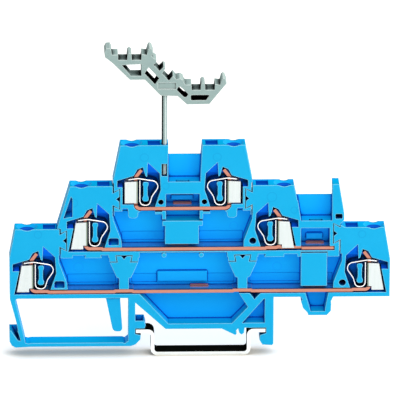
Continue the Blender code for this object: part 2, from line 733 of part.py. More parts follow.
def middle_deck():
    left, right = MIDDLE_LEFT, MIDDLE_RIGHT
    top = tower_top(left)
    slot_top = MIDDLE_BAR_Z + BAR / 2 + METAL_GAP
    slot_foot = MIDDLE_BAR_Z - BAR / 2 - METAL_GAP
    rim = UPPER_BOTTOM - FIT
    low = MIDDLE_BOTTOM
    lower_top = tower_top(LOWER_LEFT)
    shelf = MIDDLE_BAR_Z + 7.9
    fin_top = MIDDLE_BAR_Z + FIN_RISE
    fin_out = FIN_X + FIN_WIDTH
    inner_left, inner_right = UPPER_SIDE_LEFT - SEAM, UPPER_SIDE_RIGHT + SEAM
    outline = [
        left.at(TOWER_OUT, TOWER_RISE),
        (inner_left, top),
        *tail(inner_left, side_tail_z(left), (1, 0))[::-1],
        (inner_left, rim),
        (inner_right, rim),
        *tail(inner_right, side_tail_z(right), (-1, 0))[::-1],
        (inner_right, top),
        right.at(TOWER_OUT - 0.5, TOWER_RISE),
        right.at(TOWER_OUT + 0.4, shelf + 5.9 - right.top_z),
        (FIN_X, shelf + 5.9),
        (FIN_X, fin_top),
        (fin_out, fin_top),
        (fin_out + 1.45, shelf + 1.9),
        (fin_out + 1.45, shelf + 0.2),
        (fin_out + 0.7, shelf - 0.75),
        (MIDDLE_SIDE_RIGHT, shelf - 0.9),
        (MIDDLE_SIDE_RIGHT, low),
        (BRIDGE_RIGHT_X - 0.6, low),
        (BRIDGE_RIGHT_X - 0.6, low + 1.4),
        (BRIDGE_LEFT_X, low + 1.4),
        (BRIDGE_LEFT_X, low),
        *boss(PILLAR_X[1], low),
        *boss(PILLAR_X[0], low),
        (MIDDLE_SIDE_LEFT, low),
        (MIDDLE_SIDE_LEFT, lower_top + FIT),
        (MIDDLE_SIDE_LEFT - 0.75, lower_top + FIT),
    ]
    deck = slab("middle_deck_housing", [outline], FRONT, BACK, BLUE)
    pocket(deck, "bar_slot", box(left.leg_x - 0.3, slot_foot, BRIDGE_END_X + 0.2, slot_top))
    head = shelf + 0.2
    block = [
        (BAY_LEFT - 0.9, head), (BAY_LEFT - 0.9, head - 1.4), (BAY_LEFT - 0.2, head - 1.4),
        (BAY_LEFT - 0.2, MIDDLE_BAR_Z + 1.5), (BAY_RIGHT - 0.2, MIDDLE_BAR_Z + 1.5),
        (BAY_RIGHT - 0.2, head - 1.4), (BAY_RIGHT + 0.8, head - 1.4), (BAY_RIGHT + 0.8, head),
    ]
    bays = pillar_side(left, rim, slot_top - 0.05) + pillar_side(right, rim, slot_top - 0.05)[::-1]
    pocket(deck, "bays", bays, [block])
    step_z = MIDDLE_BAR_Z + STEP_RISE
    for word, x0, x1 in (
        ("left", left.at(-8.75, 0.0)[0], BAY_LEFT - 0.3),
        ("right", BAY_RIGHT - 0.1, right.at(-8.75, 0.0)[0]),
    ):
        pocket(deck, f"{word}_step", box(x0, slot_top + 0.5, x1, step_z), floor=FLOOR + STEP_DEPTH)
    recess = [left.at(5.0, 6.7), left.at(4.6, 6.1), left.at(4.6, 0.95), left.at(7.0, 0.5)]
    pocket(deck, "side_recess", recess)
    bay = [
        right.at(TOWER_OUT + 0.3, TOWER_RISE - 2.5), (FIN_X, fin_top + PAST), (FIN_X, shelf),
        (BRIDGE_LEFT_X, shelf), (BRIDGE_LEFT_X - 0.2, shelf + 1.2),
    ]
    marker_bay(deck, bay, BRIDGE_LEFT_X + 2.2, shelf)
    frame = box(BRIDGE_LEFT_X + 1.6, MIDDLE_BAR_Z + 1.5, BRIDGE_RIGHT_X - 1.9, MIDDLE_BAR_Z + 3.0)
    pocket(deck, "bridge_bay", box(BRIDGE_LEFT_X, slot_foot + 0.1, BRIDGE_RIGHT_X, shelf - 2.1), [frame])
    trim = box(BRIDGE_LEFT_X + 1.4, MIDDLE_BAR_Z + 1.3, BRIDGE_RIGHT_X - 1.7, MIDDLE_BAR_Z + 3.2)
    pocket(deck, "frame_face", trim, floor=FLOOR - 0.9)
    for clamp in (left, right):
        clamp_seat(deck, clamp)
        lock_hole(deck, clamp)
    x, z = fin_out, shelf + 1.2
    hole = ring([(px, pz, 0.3) for px, pz in box(x - 0.95, z - 0.7, x + 0.95, z + 0.7)], 3)
    cut(deck, "fin_hole", hole, FRONT - PAST, FLOOR)
    pegs = [disc(x, low + 0.7, 0.65, 14) for x in (BAY_LEFT - 0.45, BAY_RIGHT + 0.5)]
    reach = BOSS_WIDTH / 2 + 0.3
    middle = box(PILLAR_X[0] + reach, low - PAST, PILLAR_X[1] - reach, slot_foot - 0.35)
    pocket(deck, "floor_strip", middle, pegs)
    for i, (x0, x1, slant_0, slant_1) in enumerate(side_strips()):
        loop = [
            (x0 - slant_0 * 2, low - PAST), (x1 + slant_1 * 2, low - PAST), (x1, low + STRIP_HEIGHT),
            (x0, low + STRIP_HEIGHT),
        ]
        pocket(deck, f"side_strip_{i}", loop)
    for word, x in zip(("left", "right"), PILLAR_X):
        socket(deck, f"{word}_pillar_socket", x, low - BOSS_DROP - FIT, (0, 1), PILLAR_TIP)
    side_sockets(deck, MIDDLE_SIDES, low - PAST, lower_top + 0.1)
    thin_side_tails(deck, UPPER_SIDES)
    return deck


def boss(x, low):
    """The boss round a pillar's socket, hanging below the deck's edge, right to left."""
    half = BOSS_WIDTH / 2
    return [(x + half, low), (x + half, low - BOSS_DROP), (x - half, low - BOSS_DROP), (x - half, low)]


def pillar_side(clamp, rim, foot_z):
    """The bay's side along the triangular pillar of a clamp, from top to bottom."""
    return [
        (clamp.at(-6.4, 0.0)[0], rim + PAST), clamp.at(-6.4, 0.0), clamp.at(-8.6, -6.1),
        (clamp.at(-8.7, 0.0)[0], foot_z),
    ]


def tenon_side(x, way, rim, foot_z):
    """The bay's side along a tenoned pillar of the lower deck, from top to bottom."""
    head, neck = LOWER_BAR_Z + 8.3, LOWER_BAR_Z + 4.2
    return [
        (x + way * 3.75, rim + PAST), (x + way * 3.75, head), (x + way * 2.0, neck),
        (x + way * 1.3, neck - 0.3), (x + way * 1.3, foot_z),
    ]


def side_strips():
    """Open strips under the middle deck's edge: their ends, and the slant of the tabs beside them."""
    left, right = MIDDLE_LEFT.leg_x, MIDDLE_RIGHT.leg_x
    return (
        (left - 4.5, left - 1.0, 0.0, -STRIP_SLANT),
        (left + 3.0, PILLAR_X[0] - BOSS_WIDTH / 2 - 0.3, -STRIP_SLANT, 0.0),
        (PILLAR_X[1] + BOSS_WIDTH / 2 + 0.3, right - 2.7, 0.0, -STRIP_SLANT),
        (right + 2.3, right + 5.9, 0.0, 0.0),
    )


# Lower deck: the widest moulding, with the foot that clips onto the rail.
def pillar_top(x, rim):
    """The dip for a socket's boss with the pillar's tenon standing in it, left to right."""
    half, root = BOSS_WIDTH / 2 + SEAM, rim - BOSS_DROP
    tenon = tail(x, root, (0, 1), PILLAR_TIP)[::-1]
    return [(x - half, rim), (x - half, root), *tenon, (x + half, root), (x + half, rim)]


def lower_deck():
    left, right = LOWER_LEFT, LOWER_RIGHT
    top = tower_top(left)
    slot_top = LOWER_BAR_Z + BAR / 2 + METAL_GAP
    slot_foot = LOWER_BAR_Z - BAR / 2 - METAL_GAP
    rim = MIDDLE_BOTTOM - FIT
    under = slot_foot - SHELF + 0.2
    side_left, side_right = MIDDLE_SIDE_LEFT - SEAM, MIDDLE_SIDE_RIGHT + SEAM
    block_left, block_right = BRIDGE_LEFT_X + SEAM, BRIDGE_RIGHT_X - 0.6 - SEAM
    outline = [
        left.at(TOWER_OUT + 0.2, TOWER_RISE),
        (side_left, top),
        *tail(side_left, side_tail_z(left), (1, 0))[::-1],
        (side_left, rim),
        *pillar_top(PILLAR_X[0], rim),
        *pillar_top(PILLAR_X[1], rim),
        (block_left, rim), (block_left, rim + 1.3), (block_right, rim + 1.3), (block_right, rim),
        (side_right, rim),
        *tail(side_right, side_tail_z(right), (-1, 0))[::-1],
        (side_right, MIDDLE_BAR_Z + 6.6),
        (side_right + 1.2, top),
        right.at(TOWER_OUT - 0.2, TOWER_RISE),
        right.at(TOWER_OUT + 1.35, 0.5),
        right.at(TOWER_OUT + 1.35, under - right.top_z),
        *bucket(under),
        *foot_outline(under),
        *release_leg(),
        left.at(TOWER_OUT + 1.6, under - left.top_z),
        left.at(TOWER_OUT + 1.7, 1.4),
    ]
    deck = slab("lower_deck_housing", [outline, leg_window(under)], FRONT, BACK, BLUE)
    pocket(deck, "bar_slot", box(left.leg_x - 0.3, slot_foot, right.leg_x + 0.3, slot_top + JOGGLE))
    bay_foot = slot_top + 0.1
    x_left, x_right = PILLAR_X
    block_foot = slot_top + 0.8
    block = [
        (block_right, rim + PAST), (block_right, block_foot), (block_left, block_foot),
        (block_left, rim + PAST),
    ]
    relief = box(BAY_LEFT - 2.1, LOWER_BAR_Z + 1.75, BAY_RIGHT + 2.2, LOWER_BAR_Z + 4.55)
    sides = {
        "left": pillar_side(left, rim, bay_foot) + tenon_side(x_left, -1, rim, bay_foot)[::-1],
        "middle": tenon_side(x_left, 1, rim, bay_foot) + tenon_side(x_right, -1, rim, bay_foot)[::-1],
        "right": tenon_side(x_right, 1, rim, bay_foot) + pillar_side(right, rim, bay_foot)[::-1] + block,
    }
    for word, loop in sides.items():
        pocket(deck, f"{word}_bay", loop, [relief] if word == "middle" else [])
    trim = box(BAY_LEFT - 2.3, LOWER_BAR_Z + 1.6, BAY_RIGHT + 2.4, LOWER_BAR_Z + 4.7)
    pocket(deck, "relief_face", trim, floor=FLOOR - 0.8)
    steps = (
        (left.at(-8.75, 0.0)[0], x_left - 2.1),
        (x_left + 2.1, BAY_LEFT - 2.2),
        (BAY_RIGHT + 2.3, x_right - 2.1),
        (x_right + 2.1, block_left - 0.1),
        (block_right + 0.1, right.at(-8.75, 0.0)[0]),
    )
    for i, (x0, x1) in enumerate(steps):
        step = box(x0, slot_top + 0.6, x1, LOWER_BAR_Z + STEP_RISE)
        pocket(deck, f"step_{i}", step, floor=FLOOR + STEP_DEPTH)
    for clamp in (left, right):
        clamp_seat(deck, clamp)
        lock_hole(deck, clamp)
    for word, loop in trough_pockets(slot_foot):
        pocket(deck, word, loop)
    thin_side_tails(deck, MIDDLE_SIDES)
    for word, x in zip(("left", "right"), PILLAR_X):
        half, root = PILLAR_TIP / 2 + 2 * FIT, rim - BOSS_DROP
        tail_back(deck, f"{word}_pillar", x - half, root + FIT / 2, x + half, root + TAIL_LENGTH + 2 * FIT)
    x, pad_top = FOOT_X + PAD_WALL, FOOT_Z + PAD_HEIGHT
    pocket(deck, "pad_slot", [
        (x, pad_top + PAST), (x + 1.35, pad_top + PAST), (x + 1.55, pad_top), (x + 2.45, FOOT_Z + 1.8),
        (x + 1.7, FOOT_Z + 1.8), (x, pad_top - 0.3),
    ])
    hollow = box(-RAIL_HALF + 0.15, SEAT_TOP + 0.7, -RAIL_HALF + 2.1, SEAT_TOP + 2.2 + PAST)
    cut(deck, "seat_hollow", hollow, FRONT + 0.3, FLOOR)
    finger = box(FINGER_X - 3.0, FOOT_Z + 2.0, FINGER_X + 3.0, under)
    pocket(deck, "finger_face", finger, floor=FRONT + 0.6)
    return deck


def bucket(under):
    """The seat for a second marker under the right bridge slot, right to left."""
    left, right, z = BRIDGE_LEFT_X, BRIDGE_RIGHT_X, BUCKET_Z
    return [
        (right + 1.1, under), (right + 0.35, z + 3.6), (right + 0.6, z + 3.3), (right + 0.5, z + 1.2),
        (right - 0.6, z), (left + 2.2, z), (left + 1.9, z + 0.8), (left + 0.7, z + 2.1),
        (left + 0.15, z + 4.0), (left + 0.6, z + 4.5), (left + 0.2, under),
    ]


def foot_outline(under):
    """The right seat, the latch, the trough's underside and the left seat, right to left."""
    out_right = RAIL_HALF + SEAT_WALL + 0.1
    out_left = -RAIL_HALF
    rise = under - TROUGH_Z - 1.4
    return [
        (out_right, under), (out_right, FOOT_Z + 0.4), (out_right - 0.4, FOOT_Z),
        (RAIL_HALF - 1.0, FOOT_Z + 0.2), (RAIL_HALF - 1.8, FOOT_Z + 1.6), (RAIL_HALF - 1.6, HOOK_Z - 0.6),
        (RAIL_HALF, HOOK_Z), (RAIL_HALF, SEAT_TOP), (LATCH_X, SEAT_TOP), (LATCH_X - 0.2, SEAT_TOP - 1.5),
        (LATCH_X - 0.9, SEAT_TOP - 2.0), (LATCH_X - 1.5, SEAT_TOP - 1.4), (LATCH_X - 1.8, SEAT_TOP - 0.2),
        (LATCH_X - 2.4, SEAT_TOP - 0.9), (LATCH_X - 2.15, TROUGH_Z - 1.5), (LATCH_X - 2.5, TROUGH_Z - 1.9),
        (LATCH_X - 6.25, TROUGH_Z), (SLOPE_LEFT, TROUGH_Z),
        (out_left, TROUGH_Z + rise), (out_left, SEAT_TOP + 2.2), (out_left + 2.4, SEAT_TOP + 2.2),
        (out_left + 2.8, SEAT_TOP + 0.9), (out_left + 2.5, SEAT_TOP), (out_left, SEAT_TOP),
        (out_left, HOOK_Z), (out_left + 1.5, HOOK_Z - 0.4), (out_left + 1.4, HOOK_Z - 1.6),
        (out_left + 0.1, FOOT_Z + 0.5), (out_left - 1.2, FOOT_Z),
    ]


def release_leg():
    """The beam's underside, the foot pad and the outer side of the slanting leg, right to left."""
    x, z = FOOT_X, FOOT_Z
    return [
        (x + 5.6, z), (x + 1.6, z - 0.2), (x + 0.6, z + 0.4), (x, z + 1.6), (x, z + PAD_HEIGHT),
        (x + 2.3, z + PAD_HEIGHT), (x + 1.85, z + 7.1),
    ]


def leg_window(under):
    """The hole between leg, shelf, beam and seat wall, with the finger hanging into it."""
    x, z = FOOT_X, FOOT_Z
    out_left = -RAIL_HALF - SEAT_WALL
    tip = under - FINGER_LENGTH
    beam = z + BEAM
    finger = rounded([
        (FINGER_X + 1.2, under), (FINGER_X + 1.85, tip, 0.9), (FINGER_X - 0.7, tip, 1.2),
        (FINGER_X - 2.7, under),
    ])
    return [
        (x + 2.3, under), (x + 1.75, under - 0.15), (x + 1.6, under - 0.7), (x + 4.0, z + 2.6),
        (x + 4.3, z + 1.1), (x + 5.1, z + 0.9), (x + 5.8, beam),
        (out_left - 1.6, beam), (out_left - 0.9, beam - 0.25), (out_left, beam + 0.5),
        (out_left, under), *finger,
    ]


def trough_pockets(slot_foot):
    """The pan over the rail's channel, the two bays between the struts, and the bucket's pan."""
    over = slot_foot + 0.3
    pan_z = TROUGH_Z + TROUGH_WALL
    bar_z = SEAT_TOP + 1.4
    return (
        ("trough_pan", [
            (SLOPE_LEFT - 7.4, over), (SLOPE_LEFT + 0.7, pan_z), (SLOPE_RIGHT - 0.3, pan_z),
            (LATCH_X + 0.85, TROUGH_Z + 6.2), (LATCH_X - 1.8, over),
        ]),
        ("strut_corner", [(LATCH_X + 1.0, over), (LATCH_X + 2.6, TROUGH_Z + 8.4), (LATCH_X + 4.5, over)]),
        ("strut_bay", [
            (LATCH_X - 0.7, bar_z), (RAIL_HALF - 0.4, bar_z), (RAIL_HALF - 0.4, TROUGH_Z + 8.6),
            (LATCH_X + 5.1, TROUGH_Z + 8.5),
        ]),
        ("bucket_pan", [
            (BRIDGE_LEFT_X + 1.2, over), (BRIDGE_LEFT_X + 2.8, BUCKET_Z + 1.1),
            (BRIDGE_RIGHT_X - 1.2, BUCKET_Z + 1.1), (BRIDGE_RIGHT_X - 0.2, over),
        ]),
    )


# Marker carrier: a grey moulding with two seats for marking strips, on a round rod.
def carrier_rod():
    mesh = round_mesh("carrier_rod", ROD_X, ROD_Y, ROD_END_Z, CARRIER_Z + 3.6, ROD_R, ROD_R, 20)
    return add("carrier_rod", mesh, PARTS, GREY)


def marker_seat(x, z):
    """The ledges, pockets, prong and right finger of one marker seat, left to right."""
    return [
        (x, z), (x + 1.7, z), (x + 1.75, z - 1.5), (x + 4.1, z - 1.5), (x + 4.2, z + 0.1),
        (x + 4.5, z + 0.5), (x + 5.0, z + 0.5), (x + 5.3, z + 0.1), (x + 5.4, z - 1.5),
        (x + 7.85, z - 1.5), (x + 7.95, z + 0.1), (x + 9.3, z - 0.1), (x + 9.7, z + 1.4),
        (x + 10.1, z + 1.9), (x + 10.7, z + 1.6), (x + 11.1, z + 0.3),
    ]


def marker_carrier():
    z = CARRIER_Z
    finger = [
        (-26.0, z + 12.2), (-26.2, z + 13.7), (-25.7, z + 14.7), (-24.6, z + 14.8), (-24.3, z + 14.0),
    ]
    teeth = [
        (-13.6, z + 12.6), (-13.4, z + 12.2), (-12.2, z + 11.3), (-12.3, z + 10.7), (-13.0, z + 10.0),
        (-11.4, z + 8.3), (-10.3, z + 9.4), (-9.8, z + 9.0), (-10.7, z + 7.5), (-8.9, z + 5.5), (-8.3, z + 6.2),
        (-7.8, z + 6.9), (-6.9, z + 5.8), (-5.9, z + 6.1), (-5.0, z + 5.6), (-4.9, z + 4.9),
    ]
    under = [
        (2.0, z - 1.2), (-4.0, z - 1.3), (-6.5, z + 1.1), (-11.1, z + 1.3), (-15.3, z + 5.8),
        (-19.3, z + 5.8), (-24.0, z + 10.6),
    ]
    outline = finger + marker_seat(-24.2, z + 12.9) + teeth + marker_seat(-4.5, z + 4.3) + under
    carrier = slab("marker_carrier", [outline], FRONT, BACK, GREY)
    holes = (
        [(-21.5, z + 10.0), (-16.3, z + 10.2), (-16.3, z + 6.9), (-19.1, z + 6.9)],
        [(-14.3, z + 9.3), (-11.5, z + 6.2), (-12.6, z + 4.5), (-15.4, z + 7.6)],
        ring([(-6.9, z + 3.0, 0.5), (-6.0, z + 4.0, 0.5), (-3.6, z + 1.6, 0.5), (-4.5, z + 0.5, 0.5)], 3),
        ring([(-3.0, z - 0.1, 0.4), (1.1, z - 0.1, 0.2), (2.1, z + 1.4, 0.2), (-3.0, z + 1.4, 0.4)], 3),
    )
    for i, loop in enumerate(holes):
        cut(carrier, f"window_{i}", loop, FRONT - PAST, BACK + PAST)
    pocket(carrier, "name_plate", box(-11.8, z + 3.1, -7.1, z + 4.9), floor=FRONT + 0.25)
    radius = ROD_R + 0.1
    bore(carrier, "rod_hole", ROD_X, ROD_Y, CARRIER_Z - 2.0, CARRIER_Z + 3.9, radius, radius, 20)
    return carrier


def rail_section():
    half = RAIL_WIDTH / 2
    web = half - RAIL_FLANGE - RAIL_SHEET / 2
    high, low = RAIL_HEIGHT - RAIL_SHEET / 2, RAIL_SHEET / 2
    path = rounded([
        (-half, high), (-web, high, RAIL_RADIUS), (-web, low, RAIL_RADIUS), (web, low, RAIL_RADIUS),
        (web, high, RAIL_RADIUS), (half, high),
    ], 5)
    return strip("mounting_rail", path, RAIL_SHEET, FRONT, BACK, RAIL)


for place in CLAMPS:
    clamp_spring(place)
    cage = wire_cage(place)
    if place is MIDDLE_RIGHT:
        way = place.all([(3.0, -7.7), (6.5, -7.7), (6.5, -9.9), (3.0, -9.9)])
        cut(cage, "bridge_way", way, METAL_FRONT + SHEET, METAL_FRONT + SPRING_WIDTH - SHEET)
upper_busbar()
middle_busbar()
lower_busbar()
upper_deck()
middle_deck()
lower_deck()
carrier_rod()
marker_carrier()
rail_section()
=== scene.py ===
# Triple level terminal block on a slice of top-hat rail, with its marker carrier.
# Metres, +Z up, X along the block, front at -Y. The origin is under the middle of the rail.
import math

import bmesh
import bpy
from mathutils import Matrix, Vector


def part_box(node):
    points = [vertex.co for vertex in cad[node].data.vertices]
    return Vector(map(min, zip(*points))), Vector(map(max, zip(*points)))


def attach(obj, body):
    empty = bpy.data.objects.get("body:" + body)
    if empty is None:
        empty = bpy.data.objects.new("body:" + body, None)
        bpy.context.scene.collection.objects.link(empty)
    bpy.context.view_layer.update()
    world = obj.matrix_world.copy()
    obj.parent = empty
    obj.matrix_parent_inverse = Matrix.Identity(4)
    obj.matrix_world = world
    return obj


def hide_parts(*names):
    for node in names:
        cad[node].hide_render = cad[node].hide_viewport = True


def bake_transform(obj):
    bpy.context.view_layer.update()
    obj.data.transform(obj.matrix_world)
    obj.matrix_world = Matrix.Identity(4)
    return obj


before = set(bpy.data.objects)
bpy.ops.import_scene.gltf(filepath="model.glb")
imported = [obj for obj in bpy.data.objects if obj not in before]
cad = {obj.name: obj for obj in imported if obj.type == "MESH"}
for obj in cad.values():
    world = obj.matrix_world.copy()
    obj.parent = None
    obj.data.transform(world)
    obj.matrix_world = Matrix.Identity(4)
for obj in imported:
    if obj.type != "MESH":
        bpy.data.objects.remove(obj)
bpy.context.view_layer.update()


# The studio: matt white board under one large softbox, seen through a long lens.
# The camera stands 20 degrees above the block, almost square to its front.
MM = 0.001
PICTURE_WIDTH = 107.6 * MM
LENS_DISTANCE = 2.4
NEAR_CLIP = 0.1
SENSOR = 36.0
ELEVATION = math.radians(20.0)
AZIMUTH = math.radians(-2.0)
ROLL = math.radians(0.3)
AIM = Vector((-0.38, -2.5, 44.66)) * MM
LEFT_LIGHT = 0.3
RIGHT_LIGHT = 1.42
BOARD_SIZE = 3.0
BOARD_Z = -0.02 * MM
BOARD_GLOW = 0.42  # keeps the open board white
SHADOW_GLOW = 0.1  # what is left of that glow in the painted shadow under the block
SHADOW_REACH = 5.0 * MM
SHADOW_FROM = 0.96  # share of open sky at which the painted contact shadow starts
SHADOW_TO = 0.55  # and at which it is full
SHADOW_SAMPLES = 16
SOFTBOX_PLACE = Vector((0.28, -0.45, 0.62))
SOFTBOX_SIZE = 0.55
SOFTBOX_WATTS = 1.9


def linear(code):
    """The linear colour that an sRGB hex value stands for."""
    parts = [int(code[i:i + 2], 16) / 255 for i in (1, 3, 5)]
    return (*[p / 12.92 if p <= 0.04045 else ((p + 0.055) / 1.055) ** 2.4 for p in parts], 1.0)


WHITE = linear("#FFFFFF")


def feed(tree, node, inputs):
    """Links each socket to the node's input of that name, and sets each plain value on it."""
    for key, value in inputs.items():
        if isinstance(value, bpy.types.NodeSocket):
            tree.links.new(value, node.inputs[key])
        else:
            node.inputs[key].default_value = value


def add_node(tree, kind, inputs=None, **settings):
    """Adds one node with its settings and links, and gives its outputs."""
    made = tree.nodes.new(kind)
    for key, value in settings.items():
        setattr(made, key, value)
    feed(tree, made, inputs or {})
    return made.outputs


def layered(tree, colour, *layers):
    """Lays colours over one another in turn, each where its own mask is 1."""
    for mask, over in layers:
        over = linear(over) if isinstance(over, str) else over
        colour = add_node(
            tree, "ShaderNodeMix", {0: mask, 6: colour, 7: over}, data_type="RGBA",
        )[2]
    return colour


def long_lens():
    """A camera far away and long enough to fill the picture with the block."""
    camera = bpy.data.objects.new("long_lens", bpy.data.cameras.new("long_lens"))
    camera.data.sensor_width = SENSOR
    camera.data.lens = SENSOR * LENS_DISTANCE / PICTURE_WIDTH
    camera.data.clip_start = NEAR_CLIP
    back = Vector((
        math.sin(AZIMUTH) * math.cos(ELEVATION),
        -math.cos(AZIMUTH) * math.cos(ELEVATION),
        math.sin(ELEVATION),
    ))
    right = Vector((math.cos(AZIMUTH), math.sin(AZIMUTH), 0.0))
    up = back.cross(right)
    right, up = (
        right * math.cos(ROLL) + up * math.sin(ROLL),
        up * math.cos(ROLL) - right * math.sin(ROLL),
    )
    turned = Matrix((right, up, back)).transposed().to_4x4()
    camera.matrix_world = Matrix.Translation(AIM + back * LENS_DISTANCE) @ turned
    bpy.context.scene.collection.objects.link(camera)
    bpy.context.scene.camera = camera


def seen_or_mirrored(tree):
    """1 for rays that show the background to the camera, in metal or through glass."""
    rays = add_node(tree, "ShaderNodeLightPath")
    shown = rays["Is Camera Ray"]
    for ray in ("Is Glossy Ray", "Is Transmission Ray"):
        shown = add_node(
            tree, "ShaderNodeMath", {0: shown, 1: rays[ray]}, operation="MAXIMUM",
        )[0]
    return shown


def white_room():
    """Soft light from all round, stronger from the right, and plain white where it is seen."""
    room = bpy.data.worlds.new("white_room")
    room.use_nodes = True
    tree = room.node_tree
    tree.nodes.clear()
    way = add_node(tree, "ShaderNodeTexCoord")["Generated"]
    sideways = add_node(tree, "ShaderNodeSeparateXYZ", {0: way})["X"]
    strength = add_node(
        tree, "ShaderNodeMapRange", {0: sideways, 1: -1.0, 2: 1.0, 3: LEFT_LIGHT, 4: RIGHT_LIGHT},
    )[0]
    light = add_node(tree, "ShaderNodeBackground", {"Color": WHITE, "Strength": strength})[0]
    white = add_node(tree, "ShaderNodeBackground", {"Color": WHITE, "Strength": 1.0})[0]
    mix = add_node(tree, "ShaderNodeMixShader", {0: seen_or_mirrored(tree), 1: light, 2: white})
    add_node(tree, "ShaderNodeOutputWorld", {"Surface": mix[0]})
    bpy.context.scene.world = room


def matt_board():
    """Painted board: an even white with no gloss, grey only in the block's contact shadow, which
    is partly cast and partly painted in from the share of open sky.
    """
    made = bpy.data.materials.new("painted_white_board")
    made.use_nodes = True
    tree = made.node_tree
    tree.nodes.clear()
    sky = add_node(
        tree, "ShaderNodeAmbientOcclusion", {"Distance": SHADOW_REACH}, samples=SHADOW_SAMPLES,
    )["AO"]
    # Painted shadow: where little open sky is left, the board's paint greys and its glow fades.
    painted_shade = add_node(tree, "ShaderNodeMapRange", {0: sky, 1: SHADOW_FROM, 2: SHADOW_TO})[0]
    colour = layered(tree, linear("#F2F2F0"), (painted_shade, "#D8D0C0"))
    paint = add_node(tree, "ShaderNodeBsdfDiffuse", {"Color": colour})[0]
    sweep = add_node(tree, "ShaderNodeMapRange", {0: painted_shade, 3: BOARD_GLOW, 4: SHADOW_GLOW})[0]
    glow = add_node(tree, "ShaderNodeEmission", {"Color": WHITE, "Strength": sweep})[0]
    lit = add_node(tree, "ShaderNodeAddShader", {0: paint, 1: glow})[0]
    mix = add_node(tree, "ShaderNodeMixShader", {0: seen_or_mirrored(tree), 1: paint, 2: lit})
    add_node(tree, "ShaderNodeOutputMaterial", {"Surface": mix[0]})
    half = BOARD_SIZE / 2
    corners = [(x * half, y * half, BOARD_Z) for x, y in ((-1, -1), (1, -1), (1, 1), (-1, 1))]
    mesh = bpy.data.meshes.new("white_board")
    mesh.from_pydata(corners, [], [(0, 1, 2, 3)])
    mesh.materials.append(made)
    board = bpy.data.objects.new("white_board", mesh)
    bpy.context.scene.collection.objects.link(board)


def softbox():
    """A square lamp in front, above and to the right, turned towards the block."""
    lamp = bpy.data.lights.new("softbox", "AREA")
    lamp.shape = "SQUARE"
    lamp.size = SOFTBOX_SIZE
    lamp.energy = SOFTBOX_WATTS
    holder = bpy.data.objects.new("softbox", lamp)
    aim = (AIM - SOFTBOX_PLACE).to_track_quat("-Z", "Y").to_matrix().to_4x4()
    holder.matrix_world = Matrix.Translation(SOFTBOX_PLACE) @ aim
    bpy.context.scene.collection.objects.link(holder)


bpy.context.scene.view_settings.view_transform = "Standard"
long_lens()
white_room()
matt_board()
softbox()


# The rail: a slice of 35 mm top-hat rail, roll-formed from 1 mm steel strip, its sheet painted
# near black as shade. It was sawn to length afterwards, so its ends are bright bare metal.
SAW_MARK = 2.4 * MM
SAW_STRETCH = 12.0  # makes the marks long and 0.2 mm apart
SAW_DEPTH = 0.01 * MM
SHADED_SHEET_CLOUD = 3.0 * MM


def new_finish(name):
    """A new material, with its node tree and its shader."""
    made = bpy.data.materials.new(name)
    made.use_nodes = True
    return made, made.node_tree, made.node_tree.nodes["Principled BSDF"]


def sawn_steel_rail():
    """Bright sawn steel on the ends with fine saw lines, and painted shade on the sheet: a dark
    satin near black.
    """
    made, tree, shader = new_finish("shaded_steel_sheet_sawn_ends")
    place = add_node(tree, "ShaderNodeTexCoord")["Object"]
    facing = add_node(tree, "ShaderNodeNewGeometry")["True Normal"]
    facing_y = add_node(tree, "ShaderNodeSeparateXYZ", {0: facing})["Y"]
    away = add_node(tree, "ShaderNodeMath", {0: facing_y}, operation="ABSOLUTE")[0]
    sawn = add_node(tree, "ShaderNodeMapRange", {0: away, 1: 0.6, 2: 0.7})[0]
    along = add_node(
        tree, "ShaderNodeMapping", {0: place, "Scale": (1.0, 1.0, SAW_STRETCH)},
    )[0]
    lines = add_node(
        tree, "ShaderNodeTexNoise", {"Vector": along, "Scale": 1 / SAW_MARK, "Detail": 3.0},
    )["Fac"]
    cloud = add_node(
        tree, "ShaderNodeTexNoise", {"Vector": place, "Scale": 1 / SHADED_SHEET_CLOUD, "Detail": 4.0},
    )["Fac"]
    bright = layered(tree, linear("#FFFFFC"), (lines, "#F0F3EE"))
    # painted shade: the sheet is made near black, with a random cloud of tone over it
    dark = layered(tree, linear("#060705"), (cloud, "#11120E"))
    relief = {"Strength": 0.25, "Distance": SAW_DEPTH, "Height": lines}
    feed(tree, shader, {
        "Base Color": layered(tree, dark, (sawn, bright)),
        "Roughness": add_node(tree, "ShaderNodeMapRange", {0: lines, 3: 0.28, 4: 0.42})[0],
        "Normal": add_node(tree, "ShaderNodeBump", relief)[0],
        "Metallic": sawn,
        "Specular IOR Level": 0.0,
    })
    return made


def finish_node(name, finish):
    """Gives a solid of the part its real finish."""
    for slot in cad[name].material_slots:
        slot.material = finish


finish_node("mounting_rail", sawn_steel_rail())


# The three decks: one moulding each in blue polyamide, open at the front, with a thin wall
# at the back. Dovetails plug them together, and the lowest one clips onto the rail.
LEVELS = ("lower", "middle", "upper")

# From front to back
DECK_FRONT = -2.5 * MM
TOOL_FRONT = -2.2 * MM
DECK_FLOOR = 1.8 * MM
LIP = 0.15 * MM  # the painted shades of the inside start this far behind the front faces
INSIDE_END = 2.1 * MM  # and end here, short of the outer back face
INSIDE_FADE = 2.3 * MM

# Outwards from a spring's inner leg
CAGE_IN = 0.6 * MM
TOOL_OUT = -5.4 * MM
TOOL_IN = -2.1 * MM
POCKET_IN = -5.9 * MM
POCKET_OUT = 6.15 * MM
WEDGE_OUT = 5.2 * MM
WIRE_OUT = 2.2 * MM
WIRE_SHADE = 2.0 * MM

# Upwards from a spring's top
CAGE_DROP = 0.75 * MM
POCKET_FOOT = -9.2 * MM
POCKET_TOP = 0.4 * MM
WIRE_FOOT = 0.6 * MM
WEDGE_TOP = 8.6 * MM
TOOL_FOOT = 5.0 * MM
DECK_RISE = 9.6 * MM
# Painted shade: the bay walls turn darker between these heights, and a little lighter again below
# the step
WALL_DIMS_FROM, WALL_DIMS_TO = -2.0 * MM, -7.5 * MM
STEP_FROM, STEP_TO = -9.0 * MM, -9.4 * MM

